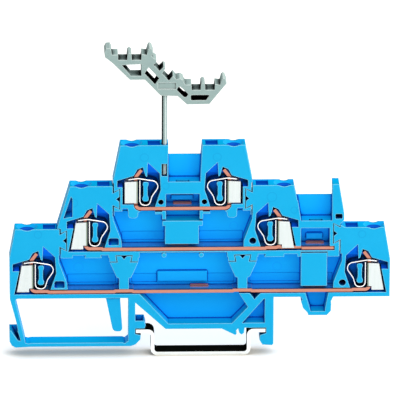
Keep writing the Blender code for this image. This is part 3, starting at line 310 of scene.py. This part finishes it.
# The moulding's surface
EDGE_ROUND = 0.3 * MM
GRAIN = 0.14 * MM
GRAIN_DEPTH = 0.006 * MM
FLOW = 9.0 * MM
RING_HALF = 0.1  # mm, half the width of the ring that an ejector pin leaves
RING_SHOWS = 0.35
MASK_BLUR = 0.08 * MM
SKIN = 0.1 * MM
NEAR_SHADE = 0.6 * MM
FAR_SHADE = 2.2 * MM
WALL_GLOW = 0.25  # painted glow: emission that stands in for light coming through the thin back wall
UP_FROM, UP_TO = 0.6, 0.9  # how far a face looks up before it counts as a top
SKY_SAMPLES = 12
EDGE_SAMPLES = 8
POLYAMIDE_IOR = 1.53

# Ejector marks on each deck: x, z and radius in mm, and the surface that carries them
EJECTOR_MARKS = {
    "lower": (
        (43.4, 34.6, 1.0, "face"), (-44.0, 35.0, 1.0, "face"),
        (-33.0, 24.0, 1.3, "wall"), (20.7, 23.9, 1.2, "wall"),
    ),
    "middle": (
        (19.0, 45.4, 1.3, "face"), (25.0, 41.6, 0.9, "face"), (-34.4, 44.0, 1.1, "face"),
        (-13.2, 33.0, 1.1, "wall"), (8.9, 35.7, 1.1, "wall"),
    ),
    "upper": ((-15.4, 56.9, 1.1, "face"), (4.2, 56.9, 1.1, "face"), (-9.6, 48.7, 0.9, "face")),
}


def clamp_place(clamp):
    """A clamp's inner leg along X, the top of its spring, and the side that faces outwards."""
    low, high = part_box(f"{clamp}_cage")
    side = 1 if clamp.endswith("right") else -1
    leg = (low.x if side > 0 else high.x) - side * CAGE_IN
    return leg, high.z + CAGE_DROP, side


def both(tree, *masks):
    """Where all the masks are 1."""
    made = masks[0]
    for mask in masks[1:]:
        made = add_node(tree, "ShaderNodeMath", {0: made, 1: mask}, operation="MULTIPLY")[0]
    return made


def between(tree, value, low, high):
    """A smooth mask that is 1 where a value lies between two bounds."""
    above = {0: value, 1: low - MASK_BLUR, 2: low + MASK_BLUR}
    below = {0: value, 1: high + MASK_BLUR, 2: high - MASK_BLUR}
    return both(
        tree, add_node(tree, "ShaderNodeMapRange", above)[0],
        add_node(tree, "ShaderNodeMapRange", below)[0],
    )


def sheltered(tree, reach, lit, dark):
    """A mask for painted shade in gaps: 0 where the share of open sky is lit, and 1 where it is
    dark.
    """
    sky = add_node(
        tree, "ShaderNodeAmbientOcclusion", {"Distance": reach}, samples=SKY_SAMPLES,
    )["AO"]
    return add_node(tree, "ShaderNodeMapRange", {0: sky, 1: lit, 2: dark})[0]


def eased_edge(tree, facing, radius, flat, full):
    """Normals rounded at the edges, and a mask that rises as they turn from the face."""
    soft = add_node(tree, "ShaderNodeBevel", {"Radius": radius}, samples=EDGE_SAMPLES)[0]
    turned = add_node(
        tree, "ShaderNodeVectorMath", {0: facing, 1: soft}, operation="DOT_PRODUCT",
    )["Value"]
    return soft, add_node(tree, "ShaderNodeMapRange", {0: turned, 1: flat, 2: full})[0]


def from_clamp(tree, axes, level):
    """How far outwards from the nearer spring's inner leg, and up from its top, a point lies."""
    left_leg, top, _ = clamp_place(f"{level}_left")
    right_leg = clamp_place(f"{level}_right")[0]
    middle = (left_leg + right_leg) / 2
    half = (right_leg - left_leg) / 2
    centred = add_node(
        tree, "ShaderNodeMath", {0: axes["X"], 1: middle}, operation="SUBTRACT",
    )[0]
    spread = add_node(tree, "ShaderNodeMath", {0: centred}, operation="ABSOLUTE")[0]
    out = add_node(tree, "ShaderNodeMath", {0: spread, 1: half}, operation="SUBTRACT")[0]
    up = add_node(tree, "ShaderNodeMath", {0: axes["Z"], 1: top}, operation="SUBTRACT")[0]
    return out, up


def wire_and_tool(tree, axes, out, up):
    """Masks for the round wire bores and the square screwdriver shafts below a deck's top."""
    below_top = between(tree, up, WIRE_FOOT, DECK_RISE - SKIN)
    aside = add_node(tree, "ShaderNodeMath", {0: out, 1: WIRE_OUT}, operation="SUBTRACT")[0]
    bore = add_node(tree, "ShaderNodeCombineXYZ", {"X": aside, "Y": axes["Y"]})[0]
    reach = add_node(tree, "ShaderNodeVectorMath", {0: bore}, operation="LENGTH")["Value"]
    wire_hole = both(tree, between(tree, reach, -MM, WIRE_SHADE), below_top)
    tool_slot = both(
        tree, below_top, between(tree, out, TOOL_OUT - SKIN, TOOL_IN + SKIN),
        between(tree, axes["Y"], TOOL_FRONT, DECK_FLOOR),
        between(tree, up, TOOL_FOOT, DECK_RISE),
    )
    return wire_hole, tool_slot


def ejector_rings(tree, axes, marks, surfaces):
    """A mask for each faint ring that an ejector pin left on the face or the bay wall."""
    flat = add_node(tree, "ShaderNodeCombineXYZ", {"X": axes["X"], "Z": axes["Z"]})[0]
    for x, z, radius, where in marks:
        reach = add_node(
            tree, "ShaderNodeVectorMath", {0: flat, 1: (x * MM, 0.0, z * MM)},
            operation="DISTANCE",
        )["Value"]
        ridge = between(tree, reach, (radius - RING_HALF) * MM, (radius + RING_HALF) * MM)
        yield both(tree, ridge, surfaces[where], RING_SHOWS)


def moulded_polyamide(level):
    """Polyamide 66 as moulded: satin, with painted highlights on its front edges, painted shade
    that is deep blue in bays and navy in gaps, and a painted glow in the bays.
    """
    made, tree, shader = new_finish(f"moulded_polyamide_{level}")
    place = add_node(tree, "ShaderNodeTexCoord")["Object"]
    axes = add_node(tree, "ShaderNodeSeparateXYZ", {0: place})
    facing = add_node(tree, "ShaderNodeNewGeometry")["True Normal"]
    ways = add_node(tree, "ShaderNodeSeparateXYZ", {0: facing})
    soft, edge = eased_edge(tree, facing, EDGE_ROUND, 0.998, 0.9)
    out, up = from_clamp(tree, axes, level)

    ahead = add_node(tree, "ShaderNodeMapRange", {0: axes["Y"], 1: INSIDE_FADE, 2: INSIDE_END})[0]
    deep = {0: axes["Y"], 1: DECK_FRONT + SKIN, 2: DECK_FLOOR}
    depth = both(tree, ahead, add_node(tree, "ShaderNodeMapRange", deep)[0])
    front = between(tree, axes["Y"], DECK_FRONT - MM, DECK_FRONT + SKIN)
    inside = between(tree, axes["Y"], DECK_FRONT + LIP, INSIDE_END)
    pocket = both(
        tree, inside, between(tree, out, POCKET_IN, POCKET_OUT),
        between(tree, up, POCKET_FOOT, POCKET_TOP),
    )
    wedge = both(
        tree, inside, between(tree, out, POCKET_IN, WEDGE_OUT),
        between(tree, up, POCKET_TOP, WEDGE_TOP),
    )
    upward = add_node(tree, "ShaderNodeMapRange", {0: ways["Z"], 1: UP_FROM, 2: UP_TO})[0]
    shaded_left_side = add_node(tree, "ShaderNodeMapRange", {0: ways["X"], 1: -0.6, 2: -0.9})[0]
    wire_hole, tool_slot = wire_and_tool(tree, axes, out, up)
    rings = ejector_rings(tree, axes, EJECTOR_MARKS[level], {"face": front, "wall": depth})
    far_sky = add_node(
        tree, "ShaderNodeAmbientOcclusion", {"Distance": FAR_SHADE}, samples=SKY_SAMPLES,
    )["AO"]
    # painted shade masks, from the share of open sky
    crevice = add_node(tree, "ShaderNodeMapRange", {0: far_sky, 1: 0.54, 2: 0.18})[0]
    painted_shade = add_node(tree, "ShaderNodeMapRange", {0: far_sky, 1: 0.56, 2: 0.26})[0]

    flow = add_node(
        tree, "ShaderNodeTexNoise",
        {"Vector": place, "Scale": 1 / FLOW, "Detail": 3.0, "Roughness": 0.4},
    )["Fac"]
    painted_low_shade = add_node(tree, "ShaderNodeMapRange", {0: up, 1: WALL_DIMS_FROM, 2: WALL_DIMS_TO})[0]
    step = add_node(tree, "ShaderNodeMapRange", {0: up, 1: STEP_FROM, 2: STEP_TO})[0]
    wall = layered(tree, linear("#10B8F8"), (painted_low_shade, "#0CA2F2"), (step, "#0CACF2"))
    colour = layered(
        tree, linear("#12B2EA"),
        (flow, "#22BAF0"),
        # painted shade: the walls inside take a deeper blue than the front faces
        (depth, wall),
        # painted shade: faces that look up are toned down, where the light falls strongest
        (both(tree, upward, 0.85), "#04A6D6"),
        # painted shade in the spring's pocket, and painted light on the wedge above it
        (pocket, "#0868F0"),
        (wedge, "#0A8CFF"),
        # painted shade on the flanks that face left
        (both(tree, shaded_left_side, 0.8), "#0C8EA6"),
        # painted shade: navy in the wire bores and screwdriver shafts
        (wire_hole, "#043498"),
        (tool_slot, "#0434A0"),
        *[(ring, "#1090D8") for ring in rings],
        # painted highlight: a pale rim along the edges of the front faces
        (both(tree, edge, front), "#90E4FF"),
        # painted shade: navy in corners and gaps, black deep in the spring's pocket
        (sheltered(tree, NEAR_SHADE, 0.9, 0.68), "#0220A0"),
        (crevice, "#021A78"),
        (both(tree, painted_shade, pocket), "#000208"),
    )

    through = add_node(tree, "ShaderNodeMath", {0: 1.0, 1: crevice}, operation="SUBTRACT")[0]
    painted_glow = add_node(
        tree, "ShaderNodeMapRange", {0: wedge, 3: WALL_GLOW, 4: 2 * WALL_GLOW},
    )[0]
    grain = add_node(
        tree, "ShaderNodeTexNoise", {"Vector": place, "Scale": 1 / GRAIN, "Detail": 2.0},
    )["Fac"]
    relief = {"Strength": 0.2, "Distance": GRAIN_DEPTH, "Height": grain, "Normal": soft}
    feed(tree, shader, {
        "Base Color": colour,
        "Roughness": add_node(tree, "ShaderNodeMapRange", {0: flow, 3: 0.42, 4: 0.54})[0],
        "Normal": add_node(tree, "ShaderNodeBump", relief)[0],
        # painted glow in the bays, twice as strong on the wedge, none in crevices
        "Emission Color": linear("#0070E0"),
        "Emission Strength": both(tree, through, depth, painted_glow),
        "Specular IOR Level": add_node(
            tree, "ShaderNodeMapRange", {0: upward, 3: 0.06, 4: 0.0},
        )[0],
        "IOR": POLYAMIDE_IOR,
    })
    return made


for level in LEVELS:
    finish_node(f"{level}_deck_housing", moulded_polyamide(level))


# The busbars: copper strip, rolled, blanked and bent up into a hook at both ends.
# Each is pressed into its deck's slot, and its front edge is the sheared one.
METAL_FRONT = -2.3 * MM
METAL_BEHIND = 2.6 * MM
PADS = {"lower": (-0.35, 30.8), "middle": (-5.8, 30.8), "upper": (-5.05,)}  # mm along X
PAD_HALF = 2.5  # mm
PAD_FRONT = 0.1 * MM
PAD_BACK = 2.0 * MM
RUN_FOOT = -12.0 * MM  # the strip's long run lies between these, up from the springs' tops
RUN_TOP = -7.4 * MM
BRINK_FROM = 1.4 * MM  # painted shade: the top darkens over this much towards the front edge
BRINK_TO = 0.3 * MM
SHEARED_ROUND = 0.14 * MM
ROLL_LINE = 0.22 * MM
ROLL_STRETCH = 0.06  # draws the rolling lines out along the strip
ROLL_DEPTH = 0.005 * MM
COPPER_CLOUD = 4.0 * MM
METAL_SHADE = 1.5 * MM


def rolled_copper(level):
    """Rolled copper: a warm satin, with the bay's blue painted on its top as a reflection, painted
    shade on its edges, towards its front and in gaps, and redder on worn contacts.
    """
    made, tree, shader = new_finish(f"rolled_copper_strip_{level}")
    place = add_node(tree, "ShaderNodeTexCoord")["Object"]
    axes = add_node(tree, "ShaderNodeSeparateXYZ", {0: place})
    facing = add_node(tree, "ShaderNodeNewGeometry")["True Normal"]
    facing_up = add_node(tree, "ShaderNodeSeparateXYZ", {0: facing})["Z"]
    edge = eased_edge(tree, facing, SHEARED_ROUND, 0.995, 0.8)[1]
    along = add_node(
        tree, "ShaderNodeMapping", {0: place, "Scale": (ROLL_STRETCH, 1.0, 1.0)},
    )[0]
    lines = add_node(
        tree, "ShaderNodeTexNoise", {"Vector": along, "Scale": 1 / ROLL_LINE, "Detail": 2.0},
    )["Fac"]
    cloud = add_node(
        tree, "ShaderNodeTexNoise", {"Vector": place, "Scale": 1 / COPPER_CLOUD, "Detail": 4.0},
    )["Fac"]

    behind = between(tree, axes["Y"], METAL_FRONT + SKIN, METAL_BEHIND)
    run = between(tree, from_clamp(tree, axes, level)[1], RUN_FOOT, RUN_TOP)
    top = add_node(tree, "ShaderNodeMapRange", {0: facing_up, 1: UP_FROM, 2: UP_TO})[0]
    painted_bay_reflection = both(tree, top, behind, run)
    painted_front_shade = add_node(
        tree, "ShaderNodeMapRange",
        {0: axes["Y"], 1: METAL_FRONT + BRINK_FROM, 2: METAL_FRONT + BRINK_TO},
    )[0]
    pad_depth = between(tree, axes["Y"], PAD_FRONT, PAD_BACK)
    pads = [
        both(
            tree, behind, run, pad_depth,
            between(tree, axes["X"], (x - PAD_HALF) * MM, (x + PAD_HALF) * MM),
        )
        for x in PADS[level]
    ]
    relief = {"Strength": 0.2, "Distance": ROLL_DEPTH, "Height": lines}
    feed(tree, shader, {
        "Base Color": layered(
            tree, linear("#CE8F7C"),
            (cloud, "#BE7E6A"),
            # painted shade: dark along the sheared edges
            (edge, "#7A3626"),
            # painted reflection: the bay's blue on the bar's top, with painted shade towards its
            # front edge
            (painted_bay_reflection, "#3C96D0"),
            (both(tree, painted_bay_reflection, painted_front_shade), "#123858"),
            # painted shade in the gaps around the metal
            (sheltered(tree, METAL_SHADE, 0.4, 0.1), "#170804"),
            *[(pad, "#D8806C") for pad in pads],
        ),
        "Roughness": add_node(tree, "ShaderNodeMapRange", {0: lines, 3: 0.24, 4: 0.4})[0],
        "Normal": add_node(tree, "ShaderNodeBump", relief)[0],
        "Metallic": add_node(tree, "ShaderNodeMapRange", {0: painted_bay_reflection, 3: 1.0, 4: 0.3})[0],
    })
    return made


for level in LEVELS:
    finish_node(f"{level}_busbar", rolled_copper(level))


# The wire cages: thin sheet channels, tinned to a soft white, folded round each wire's way.
# They stand against the busbar's upright and hold the wire in front of it.
SIDES = ("left", "right")
SPRING_SIDE_SHADE = 0.35 * MM  # painted grey shade on the cage next to the spring
CAGE_SPLIT = 2.4 * MM  # the outer wall is what lies further out than this
CAGE_CLEAR = 0.32 * MM  # gap between the outer wall and the deck
MERGE = 0.001 * MM
TIN_STREAK = 0.8 * MM
TIN_STRETCH = 0.08  # draws the streaks out downwards


def tinned_sheet(level):
    """Matt tin plate: an off-white satin with painted highlights on its edges, a painted grey
    shade beside the spring, and painted shade inside.
    """
    made, tree, shader = new_finish(f"matt_tinned_sheet_{level}")
    place = add_node(tree, "ShaderNodeTexCoord")["Object"]
    axes = add_node(tree, "ShaderNodeSeparateXYZ", {0: place})
    facing = add_node(tree, "ShaderNodeNewGeometry")["True Normal"]
    facing_y = add_node(tree, "ShaderNodeSeparateXYZ", {0: facing})["Y"]
    soft, edge = eased_edge(tree, facing, EDGE_ROUND, 0.995, 0.86)
    down = add_node(tree, "ShaderNodeMapping", {0: place, "Scale": (1.0, 1.0, TIN_STRETCH)})[0]
    streaks = add_node(
        tree, "ShaderNodeTexNoise", {"Vector": down, "Scale": 1 / TIN_STREAK, "Detail": 3.0},
    )["Fac"]
    spring_side_shade = between(tree, from_clamp(tree, axes, level)[0], 0.0, CAGE_IN + SPRING_SIDE_SHADE)
    ahead = add_node(tree, "ShaderNodeMapRange", {0: facing_y, 1: -0.7, 2: -0.9})[0]
    hidden = add_node(tree, "ShaderNodeMath", {0: 1.0, 1: ahead}, operation="SUBTRACT")[0]
    feed(tree, shader, {
        "Base Color": layered(
            tree, linear("#F0F6F6"),
            (streaks, "#DEE8E4"),
            # painted highlight: white along the edges
            (edge, "#FFFFFF"),
            # painted shade: grey-green next to the spring
            (spring_side_shade, "#98A896"),
            # painted shade: near black inside the cage
            (both(tree, hidden, sheltered(tree, METAL_SHADE, 0.75, 0.35)), "#0A0C0C"),
        ),
        "Roughness": add_node(tree, "ShaderNodeMapRange", {0: streaks, 3: 0.38, 4: 0.5})[0],
        "Normal": soft,
        "Metallic": 0.2,
    })
    return made


def folded_cage(clamp, finish):
    """A cage as pressed, its outer wall bent in a little so that it stands clear of the deck."""
    leg, _, side = clamp_place(clamp)
    mesh = cad[f"{clamp}_cage"].data.copy()
    shape = bmesh.new()
    shape.from_mesh(mesh)
    bmesh.ops.remove_doubles(shape, verts=shape.verts, dist=MERGE)
    for corner in shape.verts:
        if side * (corner.co.x - leg) > CAGE_SPLIT:
            corner.co.x -= side * CAGE_CLEAR
    shape.to_mesh(mesh)
    shape.free()
    mesh.materials.clear()
    mesh.materials.append(finish)
    piece = bpy.data.objects.new(f"{clamp}_wire_cage", mesh)
    bpy.context.scene.collection.objects.link(piece)
    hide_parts(f"{clamp}_cage")
    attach(piece, "block")


for level in LEVELS:
    tin = tinned_sheet(level)
    for side in SIDES:
        folded_cage(f"{level}_{side}", tin)


# The clamp springs: one strip of chrome nickel spring steel each, bent into a U and a loop.
# The upright copper passes through a window in the top leg, and the top leg grips the wire.
METAL_WIDTH = 3.8 * MM
STRIP = 0.3 * MM
STRIP_EDGE = 0.05 * MM
LEG_HEIGHT = 7.55  # mm, as are all sizes of the path and the window below
U_MIDDLE = -1.45
WINDOW_IN = -0.85
WINDOW_OUT = 2.6
WINDOW_WIDTH = 2.8
FIXED_LEG = [(U_MIDDLE, -LEG_HEIGHT, 0.0), (0.0, -LEG_HEIGHT, 1.3), (0.0, -0.5, 0.0)]
MOVING_LEG = [
    (3.05, -0.22, 0.0), (0.6, 0.12, 3.0), (-5.95, -1.0, 1.6), (-3.25, -5.0, 2.5),
    (-2.55, -LEG_HEIGHT, 1.25), (U_MIDDLE, -LEG_HEIGHT, 0.0),
]
ARC_STEPS = 10
SMOOTH_BELOW = math.radians(40.0)
SHEAR_DEPTH = 0.3 * MM
GRIND = 0.3 * MM
REST_PLACE = "rest_place"  # where each point lies before the loop is bent


def punched_spring_steel():
    """Stainless spring strip: bright sheared edges, and its faces painted near black as shade."""
    made, tree, shader = new_finish("spring_steel_strip")
    place = add_node(tree, "ShaderNodeAttribute", attribute_name=REST_PLACE)["Vector"]
    facing = add_node(tree, "ShaderNodeNewGeometry")["Normal"]
    facing_y = add_node(tree, "ShaderNodeSeparateXYZ", {0: facing})["Y"]
    away = add_node(tree, "ShaderNodeMath", {0: facing_y}, operation="ABSOLUTE")[0]
    across = add_node(tree, "ShaderNodeSeparateXYZ", {0: place})["Y"]
    edges = between(tree, across, METAL_FRONT - MM, METAL_FRONT + SHEAR_DEPTH)
    sheared = both(
        tree, edges, add_node(tree, "ShaderNodeMapRange", {0: away, 1: 0.3, 2: 0.6})[0],
    )
    grind = add_node(
        tree, "ShaderNodeTexNoise", {"Vector": place, "Scale": 1 / GRIND, "Detail": 3.0},
    )["Fac"]
    feed(tree, shader, {
        "Base Color": layered(
            # painted shade: the faces are near black, and only the sheared front edges are bright
            tree, linear("#0C0E12"), (grind, "#1A1E24"), (sheared, "#FAF8F8"),
        ),
        "Roughness": add_node(tree, "ShaderNodeMapRange", {0: grind, 3: 0.16, 4: 0.3})[0],
        "Metallic": 1.0,
    })
    return made


def rounded(corners):
    """A path's points, with each corner (x, z, radius) turned into an arc."""
    points = []
    for i, (x, z, radius) in enumerate(corners):
        if radius == 0.0:
            points.append((x, z))
            continue
        before = math.atan2(corners[i - 1][1] - z, corners[i - 1][0] - x)
        after = math.atan2(corners[i + 1][1] - z, corners[i + 1][0] - x)
        turn = (after - before + math.pi) % (2 * math.pi) - math.pi
        reach = radius / math.sin(abs(turn) / 2)
        cx = x + reach * math.cos(before + turn / 2)
        cz = z + reach * math.sin(before + turn / 2)
        side = math.copysign(1.0, turn)
        for k in range(ARC_STEPS + 1):
            a = before - side * (math.pi / 2 + (math.pi - abs(turn)) * k / ARC_STEPS)
            points.append((cx + radius * math.cos(a), cz + radius * math.sin(a)))
    return points


def bent_strip_nodes(finish):
    """Sweeps a flat, edge-rounded strip along a path and punches a window through it."""
    tree = bpy.data.node_groups.new("bent_strip", "GeometryNodeTree")
    for name, kind, value in (
        ("Geometry", "Geometry", None), ("Width", "Float", MM), ("Thickness", "Float", MM),
        ("Edge Radius", "Float", MM), ("Window Centre", "Vector", (0.0, 0.0, 0.0)),
        ("Window Size", "Vector", (MM, MM, MM)),
    ):
        made = tree.interface.new_socket(
            name=name, in_out="INPUT", socket_type=f"NodeSocket{kind}",
        )
        if value is not None:
            made.default_value = value
    tree.interface.new_socket(
        name="Geometry", in_out="OUTPUT", socket_type="NodeSocketGeometry",
    )
    given = add_node(tree, "NodeGroupInput")
    path = add_node(tree, "GeometryNodeMeshToCurve", {"Mesh": given["Geometry"]})[0]
    profile = add_node(
        tree, "GeometryNodeCurvePrimitiveQuadrilateral",
        {"Width": given["Width"], "Height": given["Thickness"]},
    )[0]
    eased = add_node(
        tree, "GeometryNodeFilletCurve", {"Curve": profile, "Radius": given["Edge Radius"]},
    )[0]
    strip = add_node(
        tree, "GeometryNodeCurveToMesh",
        {"Curve": path, "Profile Curve": eased, "Fill Caps": True},
    )[0]
    punch = add_node(tree, "GeometryNodeMeshCube", {"Size": given["Window Size"]})[0]
    placed = add_node(
        tree, "GeometryNodeTransform",
        {"Geometry": punch, "Translation": given["Window Centre"]},
    )[0]
    punched = add_node(
        tree, "GeometryNodeMeshBoolean", {"Mesh 1": strip, "Mesh 2": placed},
        operation="DIFFERENCE",
    )[0]
    here = add_node(tree, "GeometryNodeInputPosition")[0]
    known = add_node(
        tree, "GeometryNodeStoreNamedAttribute",
        {"Geometry": punched, "Name": REST_PLACE, "Value": here},
        data_type="FLOAT_VECTOR", domain="POINT",
    )[0]
    real = add_node(tree, "GeometryNodeRealizeInstances", {"Geometry": known})[0]
    steel = add_node(tree, "GeometryNodeSetMaterial", {"Geometry": real, "Material": finish})[0]
    add_node(tree, "NodeGroupOutput", {"Geometry": steel})
    return tree


def grown(name, mesh, tree, values):
    """The plain mesh that a node group makes of a mesh, shaded smooth except at its edges."""
    holder = bpy.data.objects.new(name, mesh)
    bpy.context.scene.collection.objects.link(holder)
    step = holder.modifiers.new(tree.name, "NODES")
    step.node_group = tree
    for socket in tree.interface.items_tree:
        if socket.name in values and socket.in_out == "INPUT":
            step[socket.identifier] = values[socket.name]
    bpy.context.view_layer.update()
    evaluated = holder.evaluated_get(bpy.context.evaluated_depsgraph_get())
    made = bpy.data.meshes.new_from_object(evaluated)
    bpy.data.objects.remove(holder, do_unlink=True)
    made.name = name
    for polygon in made.polygons:
        polygon.use_smooth = True
    made.set_sharp_from_angle(angle=SMOOTH_BELOW)
    piece = bpy.data.objects.new(name, made)
    bpy.context.scene.collection.objects.link(piece)
    return piece


def spring_part(name, clamp, corners, tree):
    """One part of a clamp's spring, swept along its path."""
    leg, top, side = clamp_place(clamp)
    middle = METAL_FRONT + METAL_WIDTH / 2
    points = [(leg + side * u * MM, middle, top + w * MM) for u, w in rounded(corners)]
    mesh = bpy.data.meshes.new(f"{name}_path")
    mesh.from_pydata(points, [(i, i + 1) for i in range(len(points) - 1)], [])
    window = (WINDOW_OUT + WINDOW_IN) / 2 * MM
    piece = grown(name, mesh, tree, {
        "Width": METAL_WIDTH, "Thickness": STRIP, "Edge Radius": STRIP_EDGE,
        "Window Centre": (leg + side * window, middle, top),
        "Window Size": ((WINDOW_OUT - WINDOW_IN) * MM, WINDOW_WIDTH * MM, MM),
    })
    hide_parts(f"{clamp}_spring")
    return piece


strip_nodes = bent_strip_nodes(punched_spring_steel())
for clamp in [f"{level}_{side}" for level in LEVELS for side in SIDES]:
    fixed = spring_part(f"{clamp}_spring_fixed_leg", clamp, FIXED_LEG, strip_nodes)
    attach(fixed, "block")
    moving = spring_part(f"{clamp}_spring_loop", clamp, MOVING_LEG, strip_nodes)
    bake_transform(moving)


# The carrier's rod: a plain round stem drawn in grey polyamide, a sliding fit in its bore.
# It shows again in the small window below the bore.
GREY_FLOW = 5.0 * MM
GREY_SHADE = 3.0 * MM
RIGHT_FROM, RIGHT_TO = 0.15, 0.7  # how far right a side looks where the painted highlight is strongest


def moulded_grey(name, shaded_left_side, lit_right_side):
    """Grey polyamide: satin, with painted highlights along its edges and on right-facing sides,
    and painted shade on its left flanks and in gaps.
    """
    made, tree, shader = new_finish(name)
    place = add_node(tree, "ShaderNodeTexCoord")["Object"]
    facing = add_node(tree, "ShaderNodeNewGeometry")["True Normal"]
    soft, edge = eased_edge(tree, facing, EDGE_ROUND, 0.998, 0.9)
    ways = add_node(tree, "ShaderNodeSeparateXYZ", {0: soft})
    flow = add_node(
        tree, "ShaderNodeTexNoise", {"Vector": place, "Scale": 1 / GREY_FLOW, "Detail": 4.0},
    )["Fac"]
    peak = (RIGHT_FROM + RIGHT_TO) / 2
    right = both(
        tree, add_node(tree, "ShaderNodeMapRange", {0: ways["X"], 1: RIGHT_FROM, 2: peak})[0],
        add_node(tree, "ShaderNodeMapRange", {0: ways["X"], 1: RIGHT_TO, 2: peak})[0],
    )
    front_left = both(
        tree, add_node(tree, "ShaderNodeMapRange", {0: ways["X"], 1: -0.3, 2: -0.6})[0],
        add_node(tree, "ShaderNodeMapRange", {0: ways["Y"], 1: 0.0, 2: -0.3})[0],
    )
    ahead = add_node(tree, "ShaderNodeMapRange", {0: ways["Y"], 1: -0.3, 2: -0.8})[0]
    hidden = add_node(tree, "ShaderNodeMath", {0: 1.0, 1: ahead}, operation="SUBTRACT")[0]
    grain = add_node(
        tree, "ShaderNodeTexNoise", {"Vector": place, "Scale": 1 / GRAIN, "Detail": 2.0},
    )["Fac"]
    relief = {"Strength": 0.2, "Distance": GRAIN_DEPTH, "Height": grain, "Normal": soft}
    feed(tree, shader, {
        "Base Color": layered(
            tree, linear("#98AFAC"),
            (flow, "#A6BCB8"),
            # painted highlight: pale along the edges
            (edge, "#E8F4F0"),
            # painted highlight on sides that face right, painted shade on those that face left
            (right, lit_right_side),
            (front_left, shaded_left_side),
            # painted shade: black in gaps and windows
            (both(tree, hidden, sheltered(tree, GREY_SHADE, 0.85, 0.6)), "#020202"),
        ),
        "Roughness": add_node(tree, "ShaderNodeMapRange", {0: flow, 3: 0.42, 4: 0.55})[0],
        "Normal": add_node(tree, "ShaderNodeBump", relief)[0],
        "Specular IOR Level": add_node(tree, "ShaderNodeMapRange", {0: ahead, 4: 0.1})[0],
        "IOR": POLYAMIDE_IOR,
    })
    return made


# the two colours are the painted shade on the left flanks and the painted highlight on the
# right-facing sides
finish_node("carrier_rod", moulded_grey("drawn_polyamide_grey", "#161C1A", "#EAF6F2"))


# The marker carrier: one grey moulding with two seats for marking strips on top.
# It is pushed onto the rod's end, and turns there.
# the two colours are the painted shade on the left flanks and the painted highlight on the
# right-facing sides
finish_node("marker_carrier", moulded_grey("moulded_polyamide_grey", "#4A5652", "#B4C8C2"))
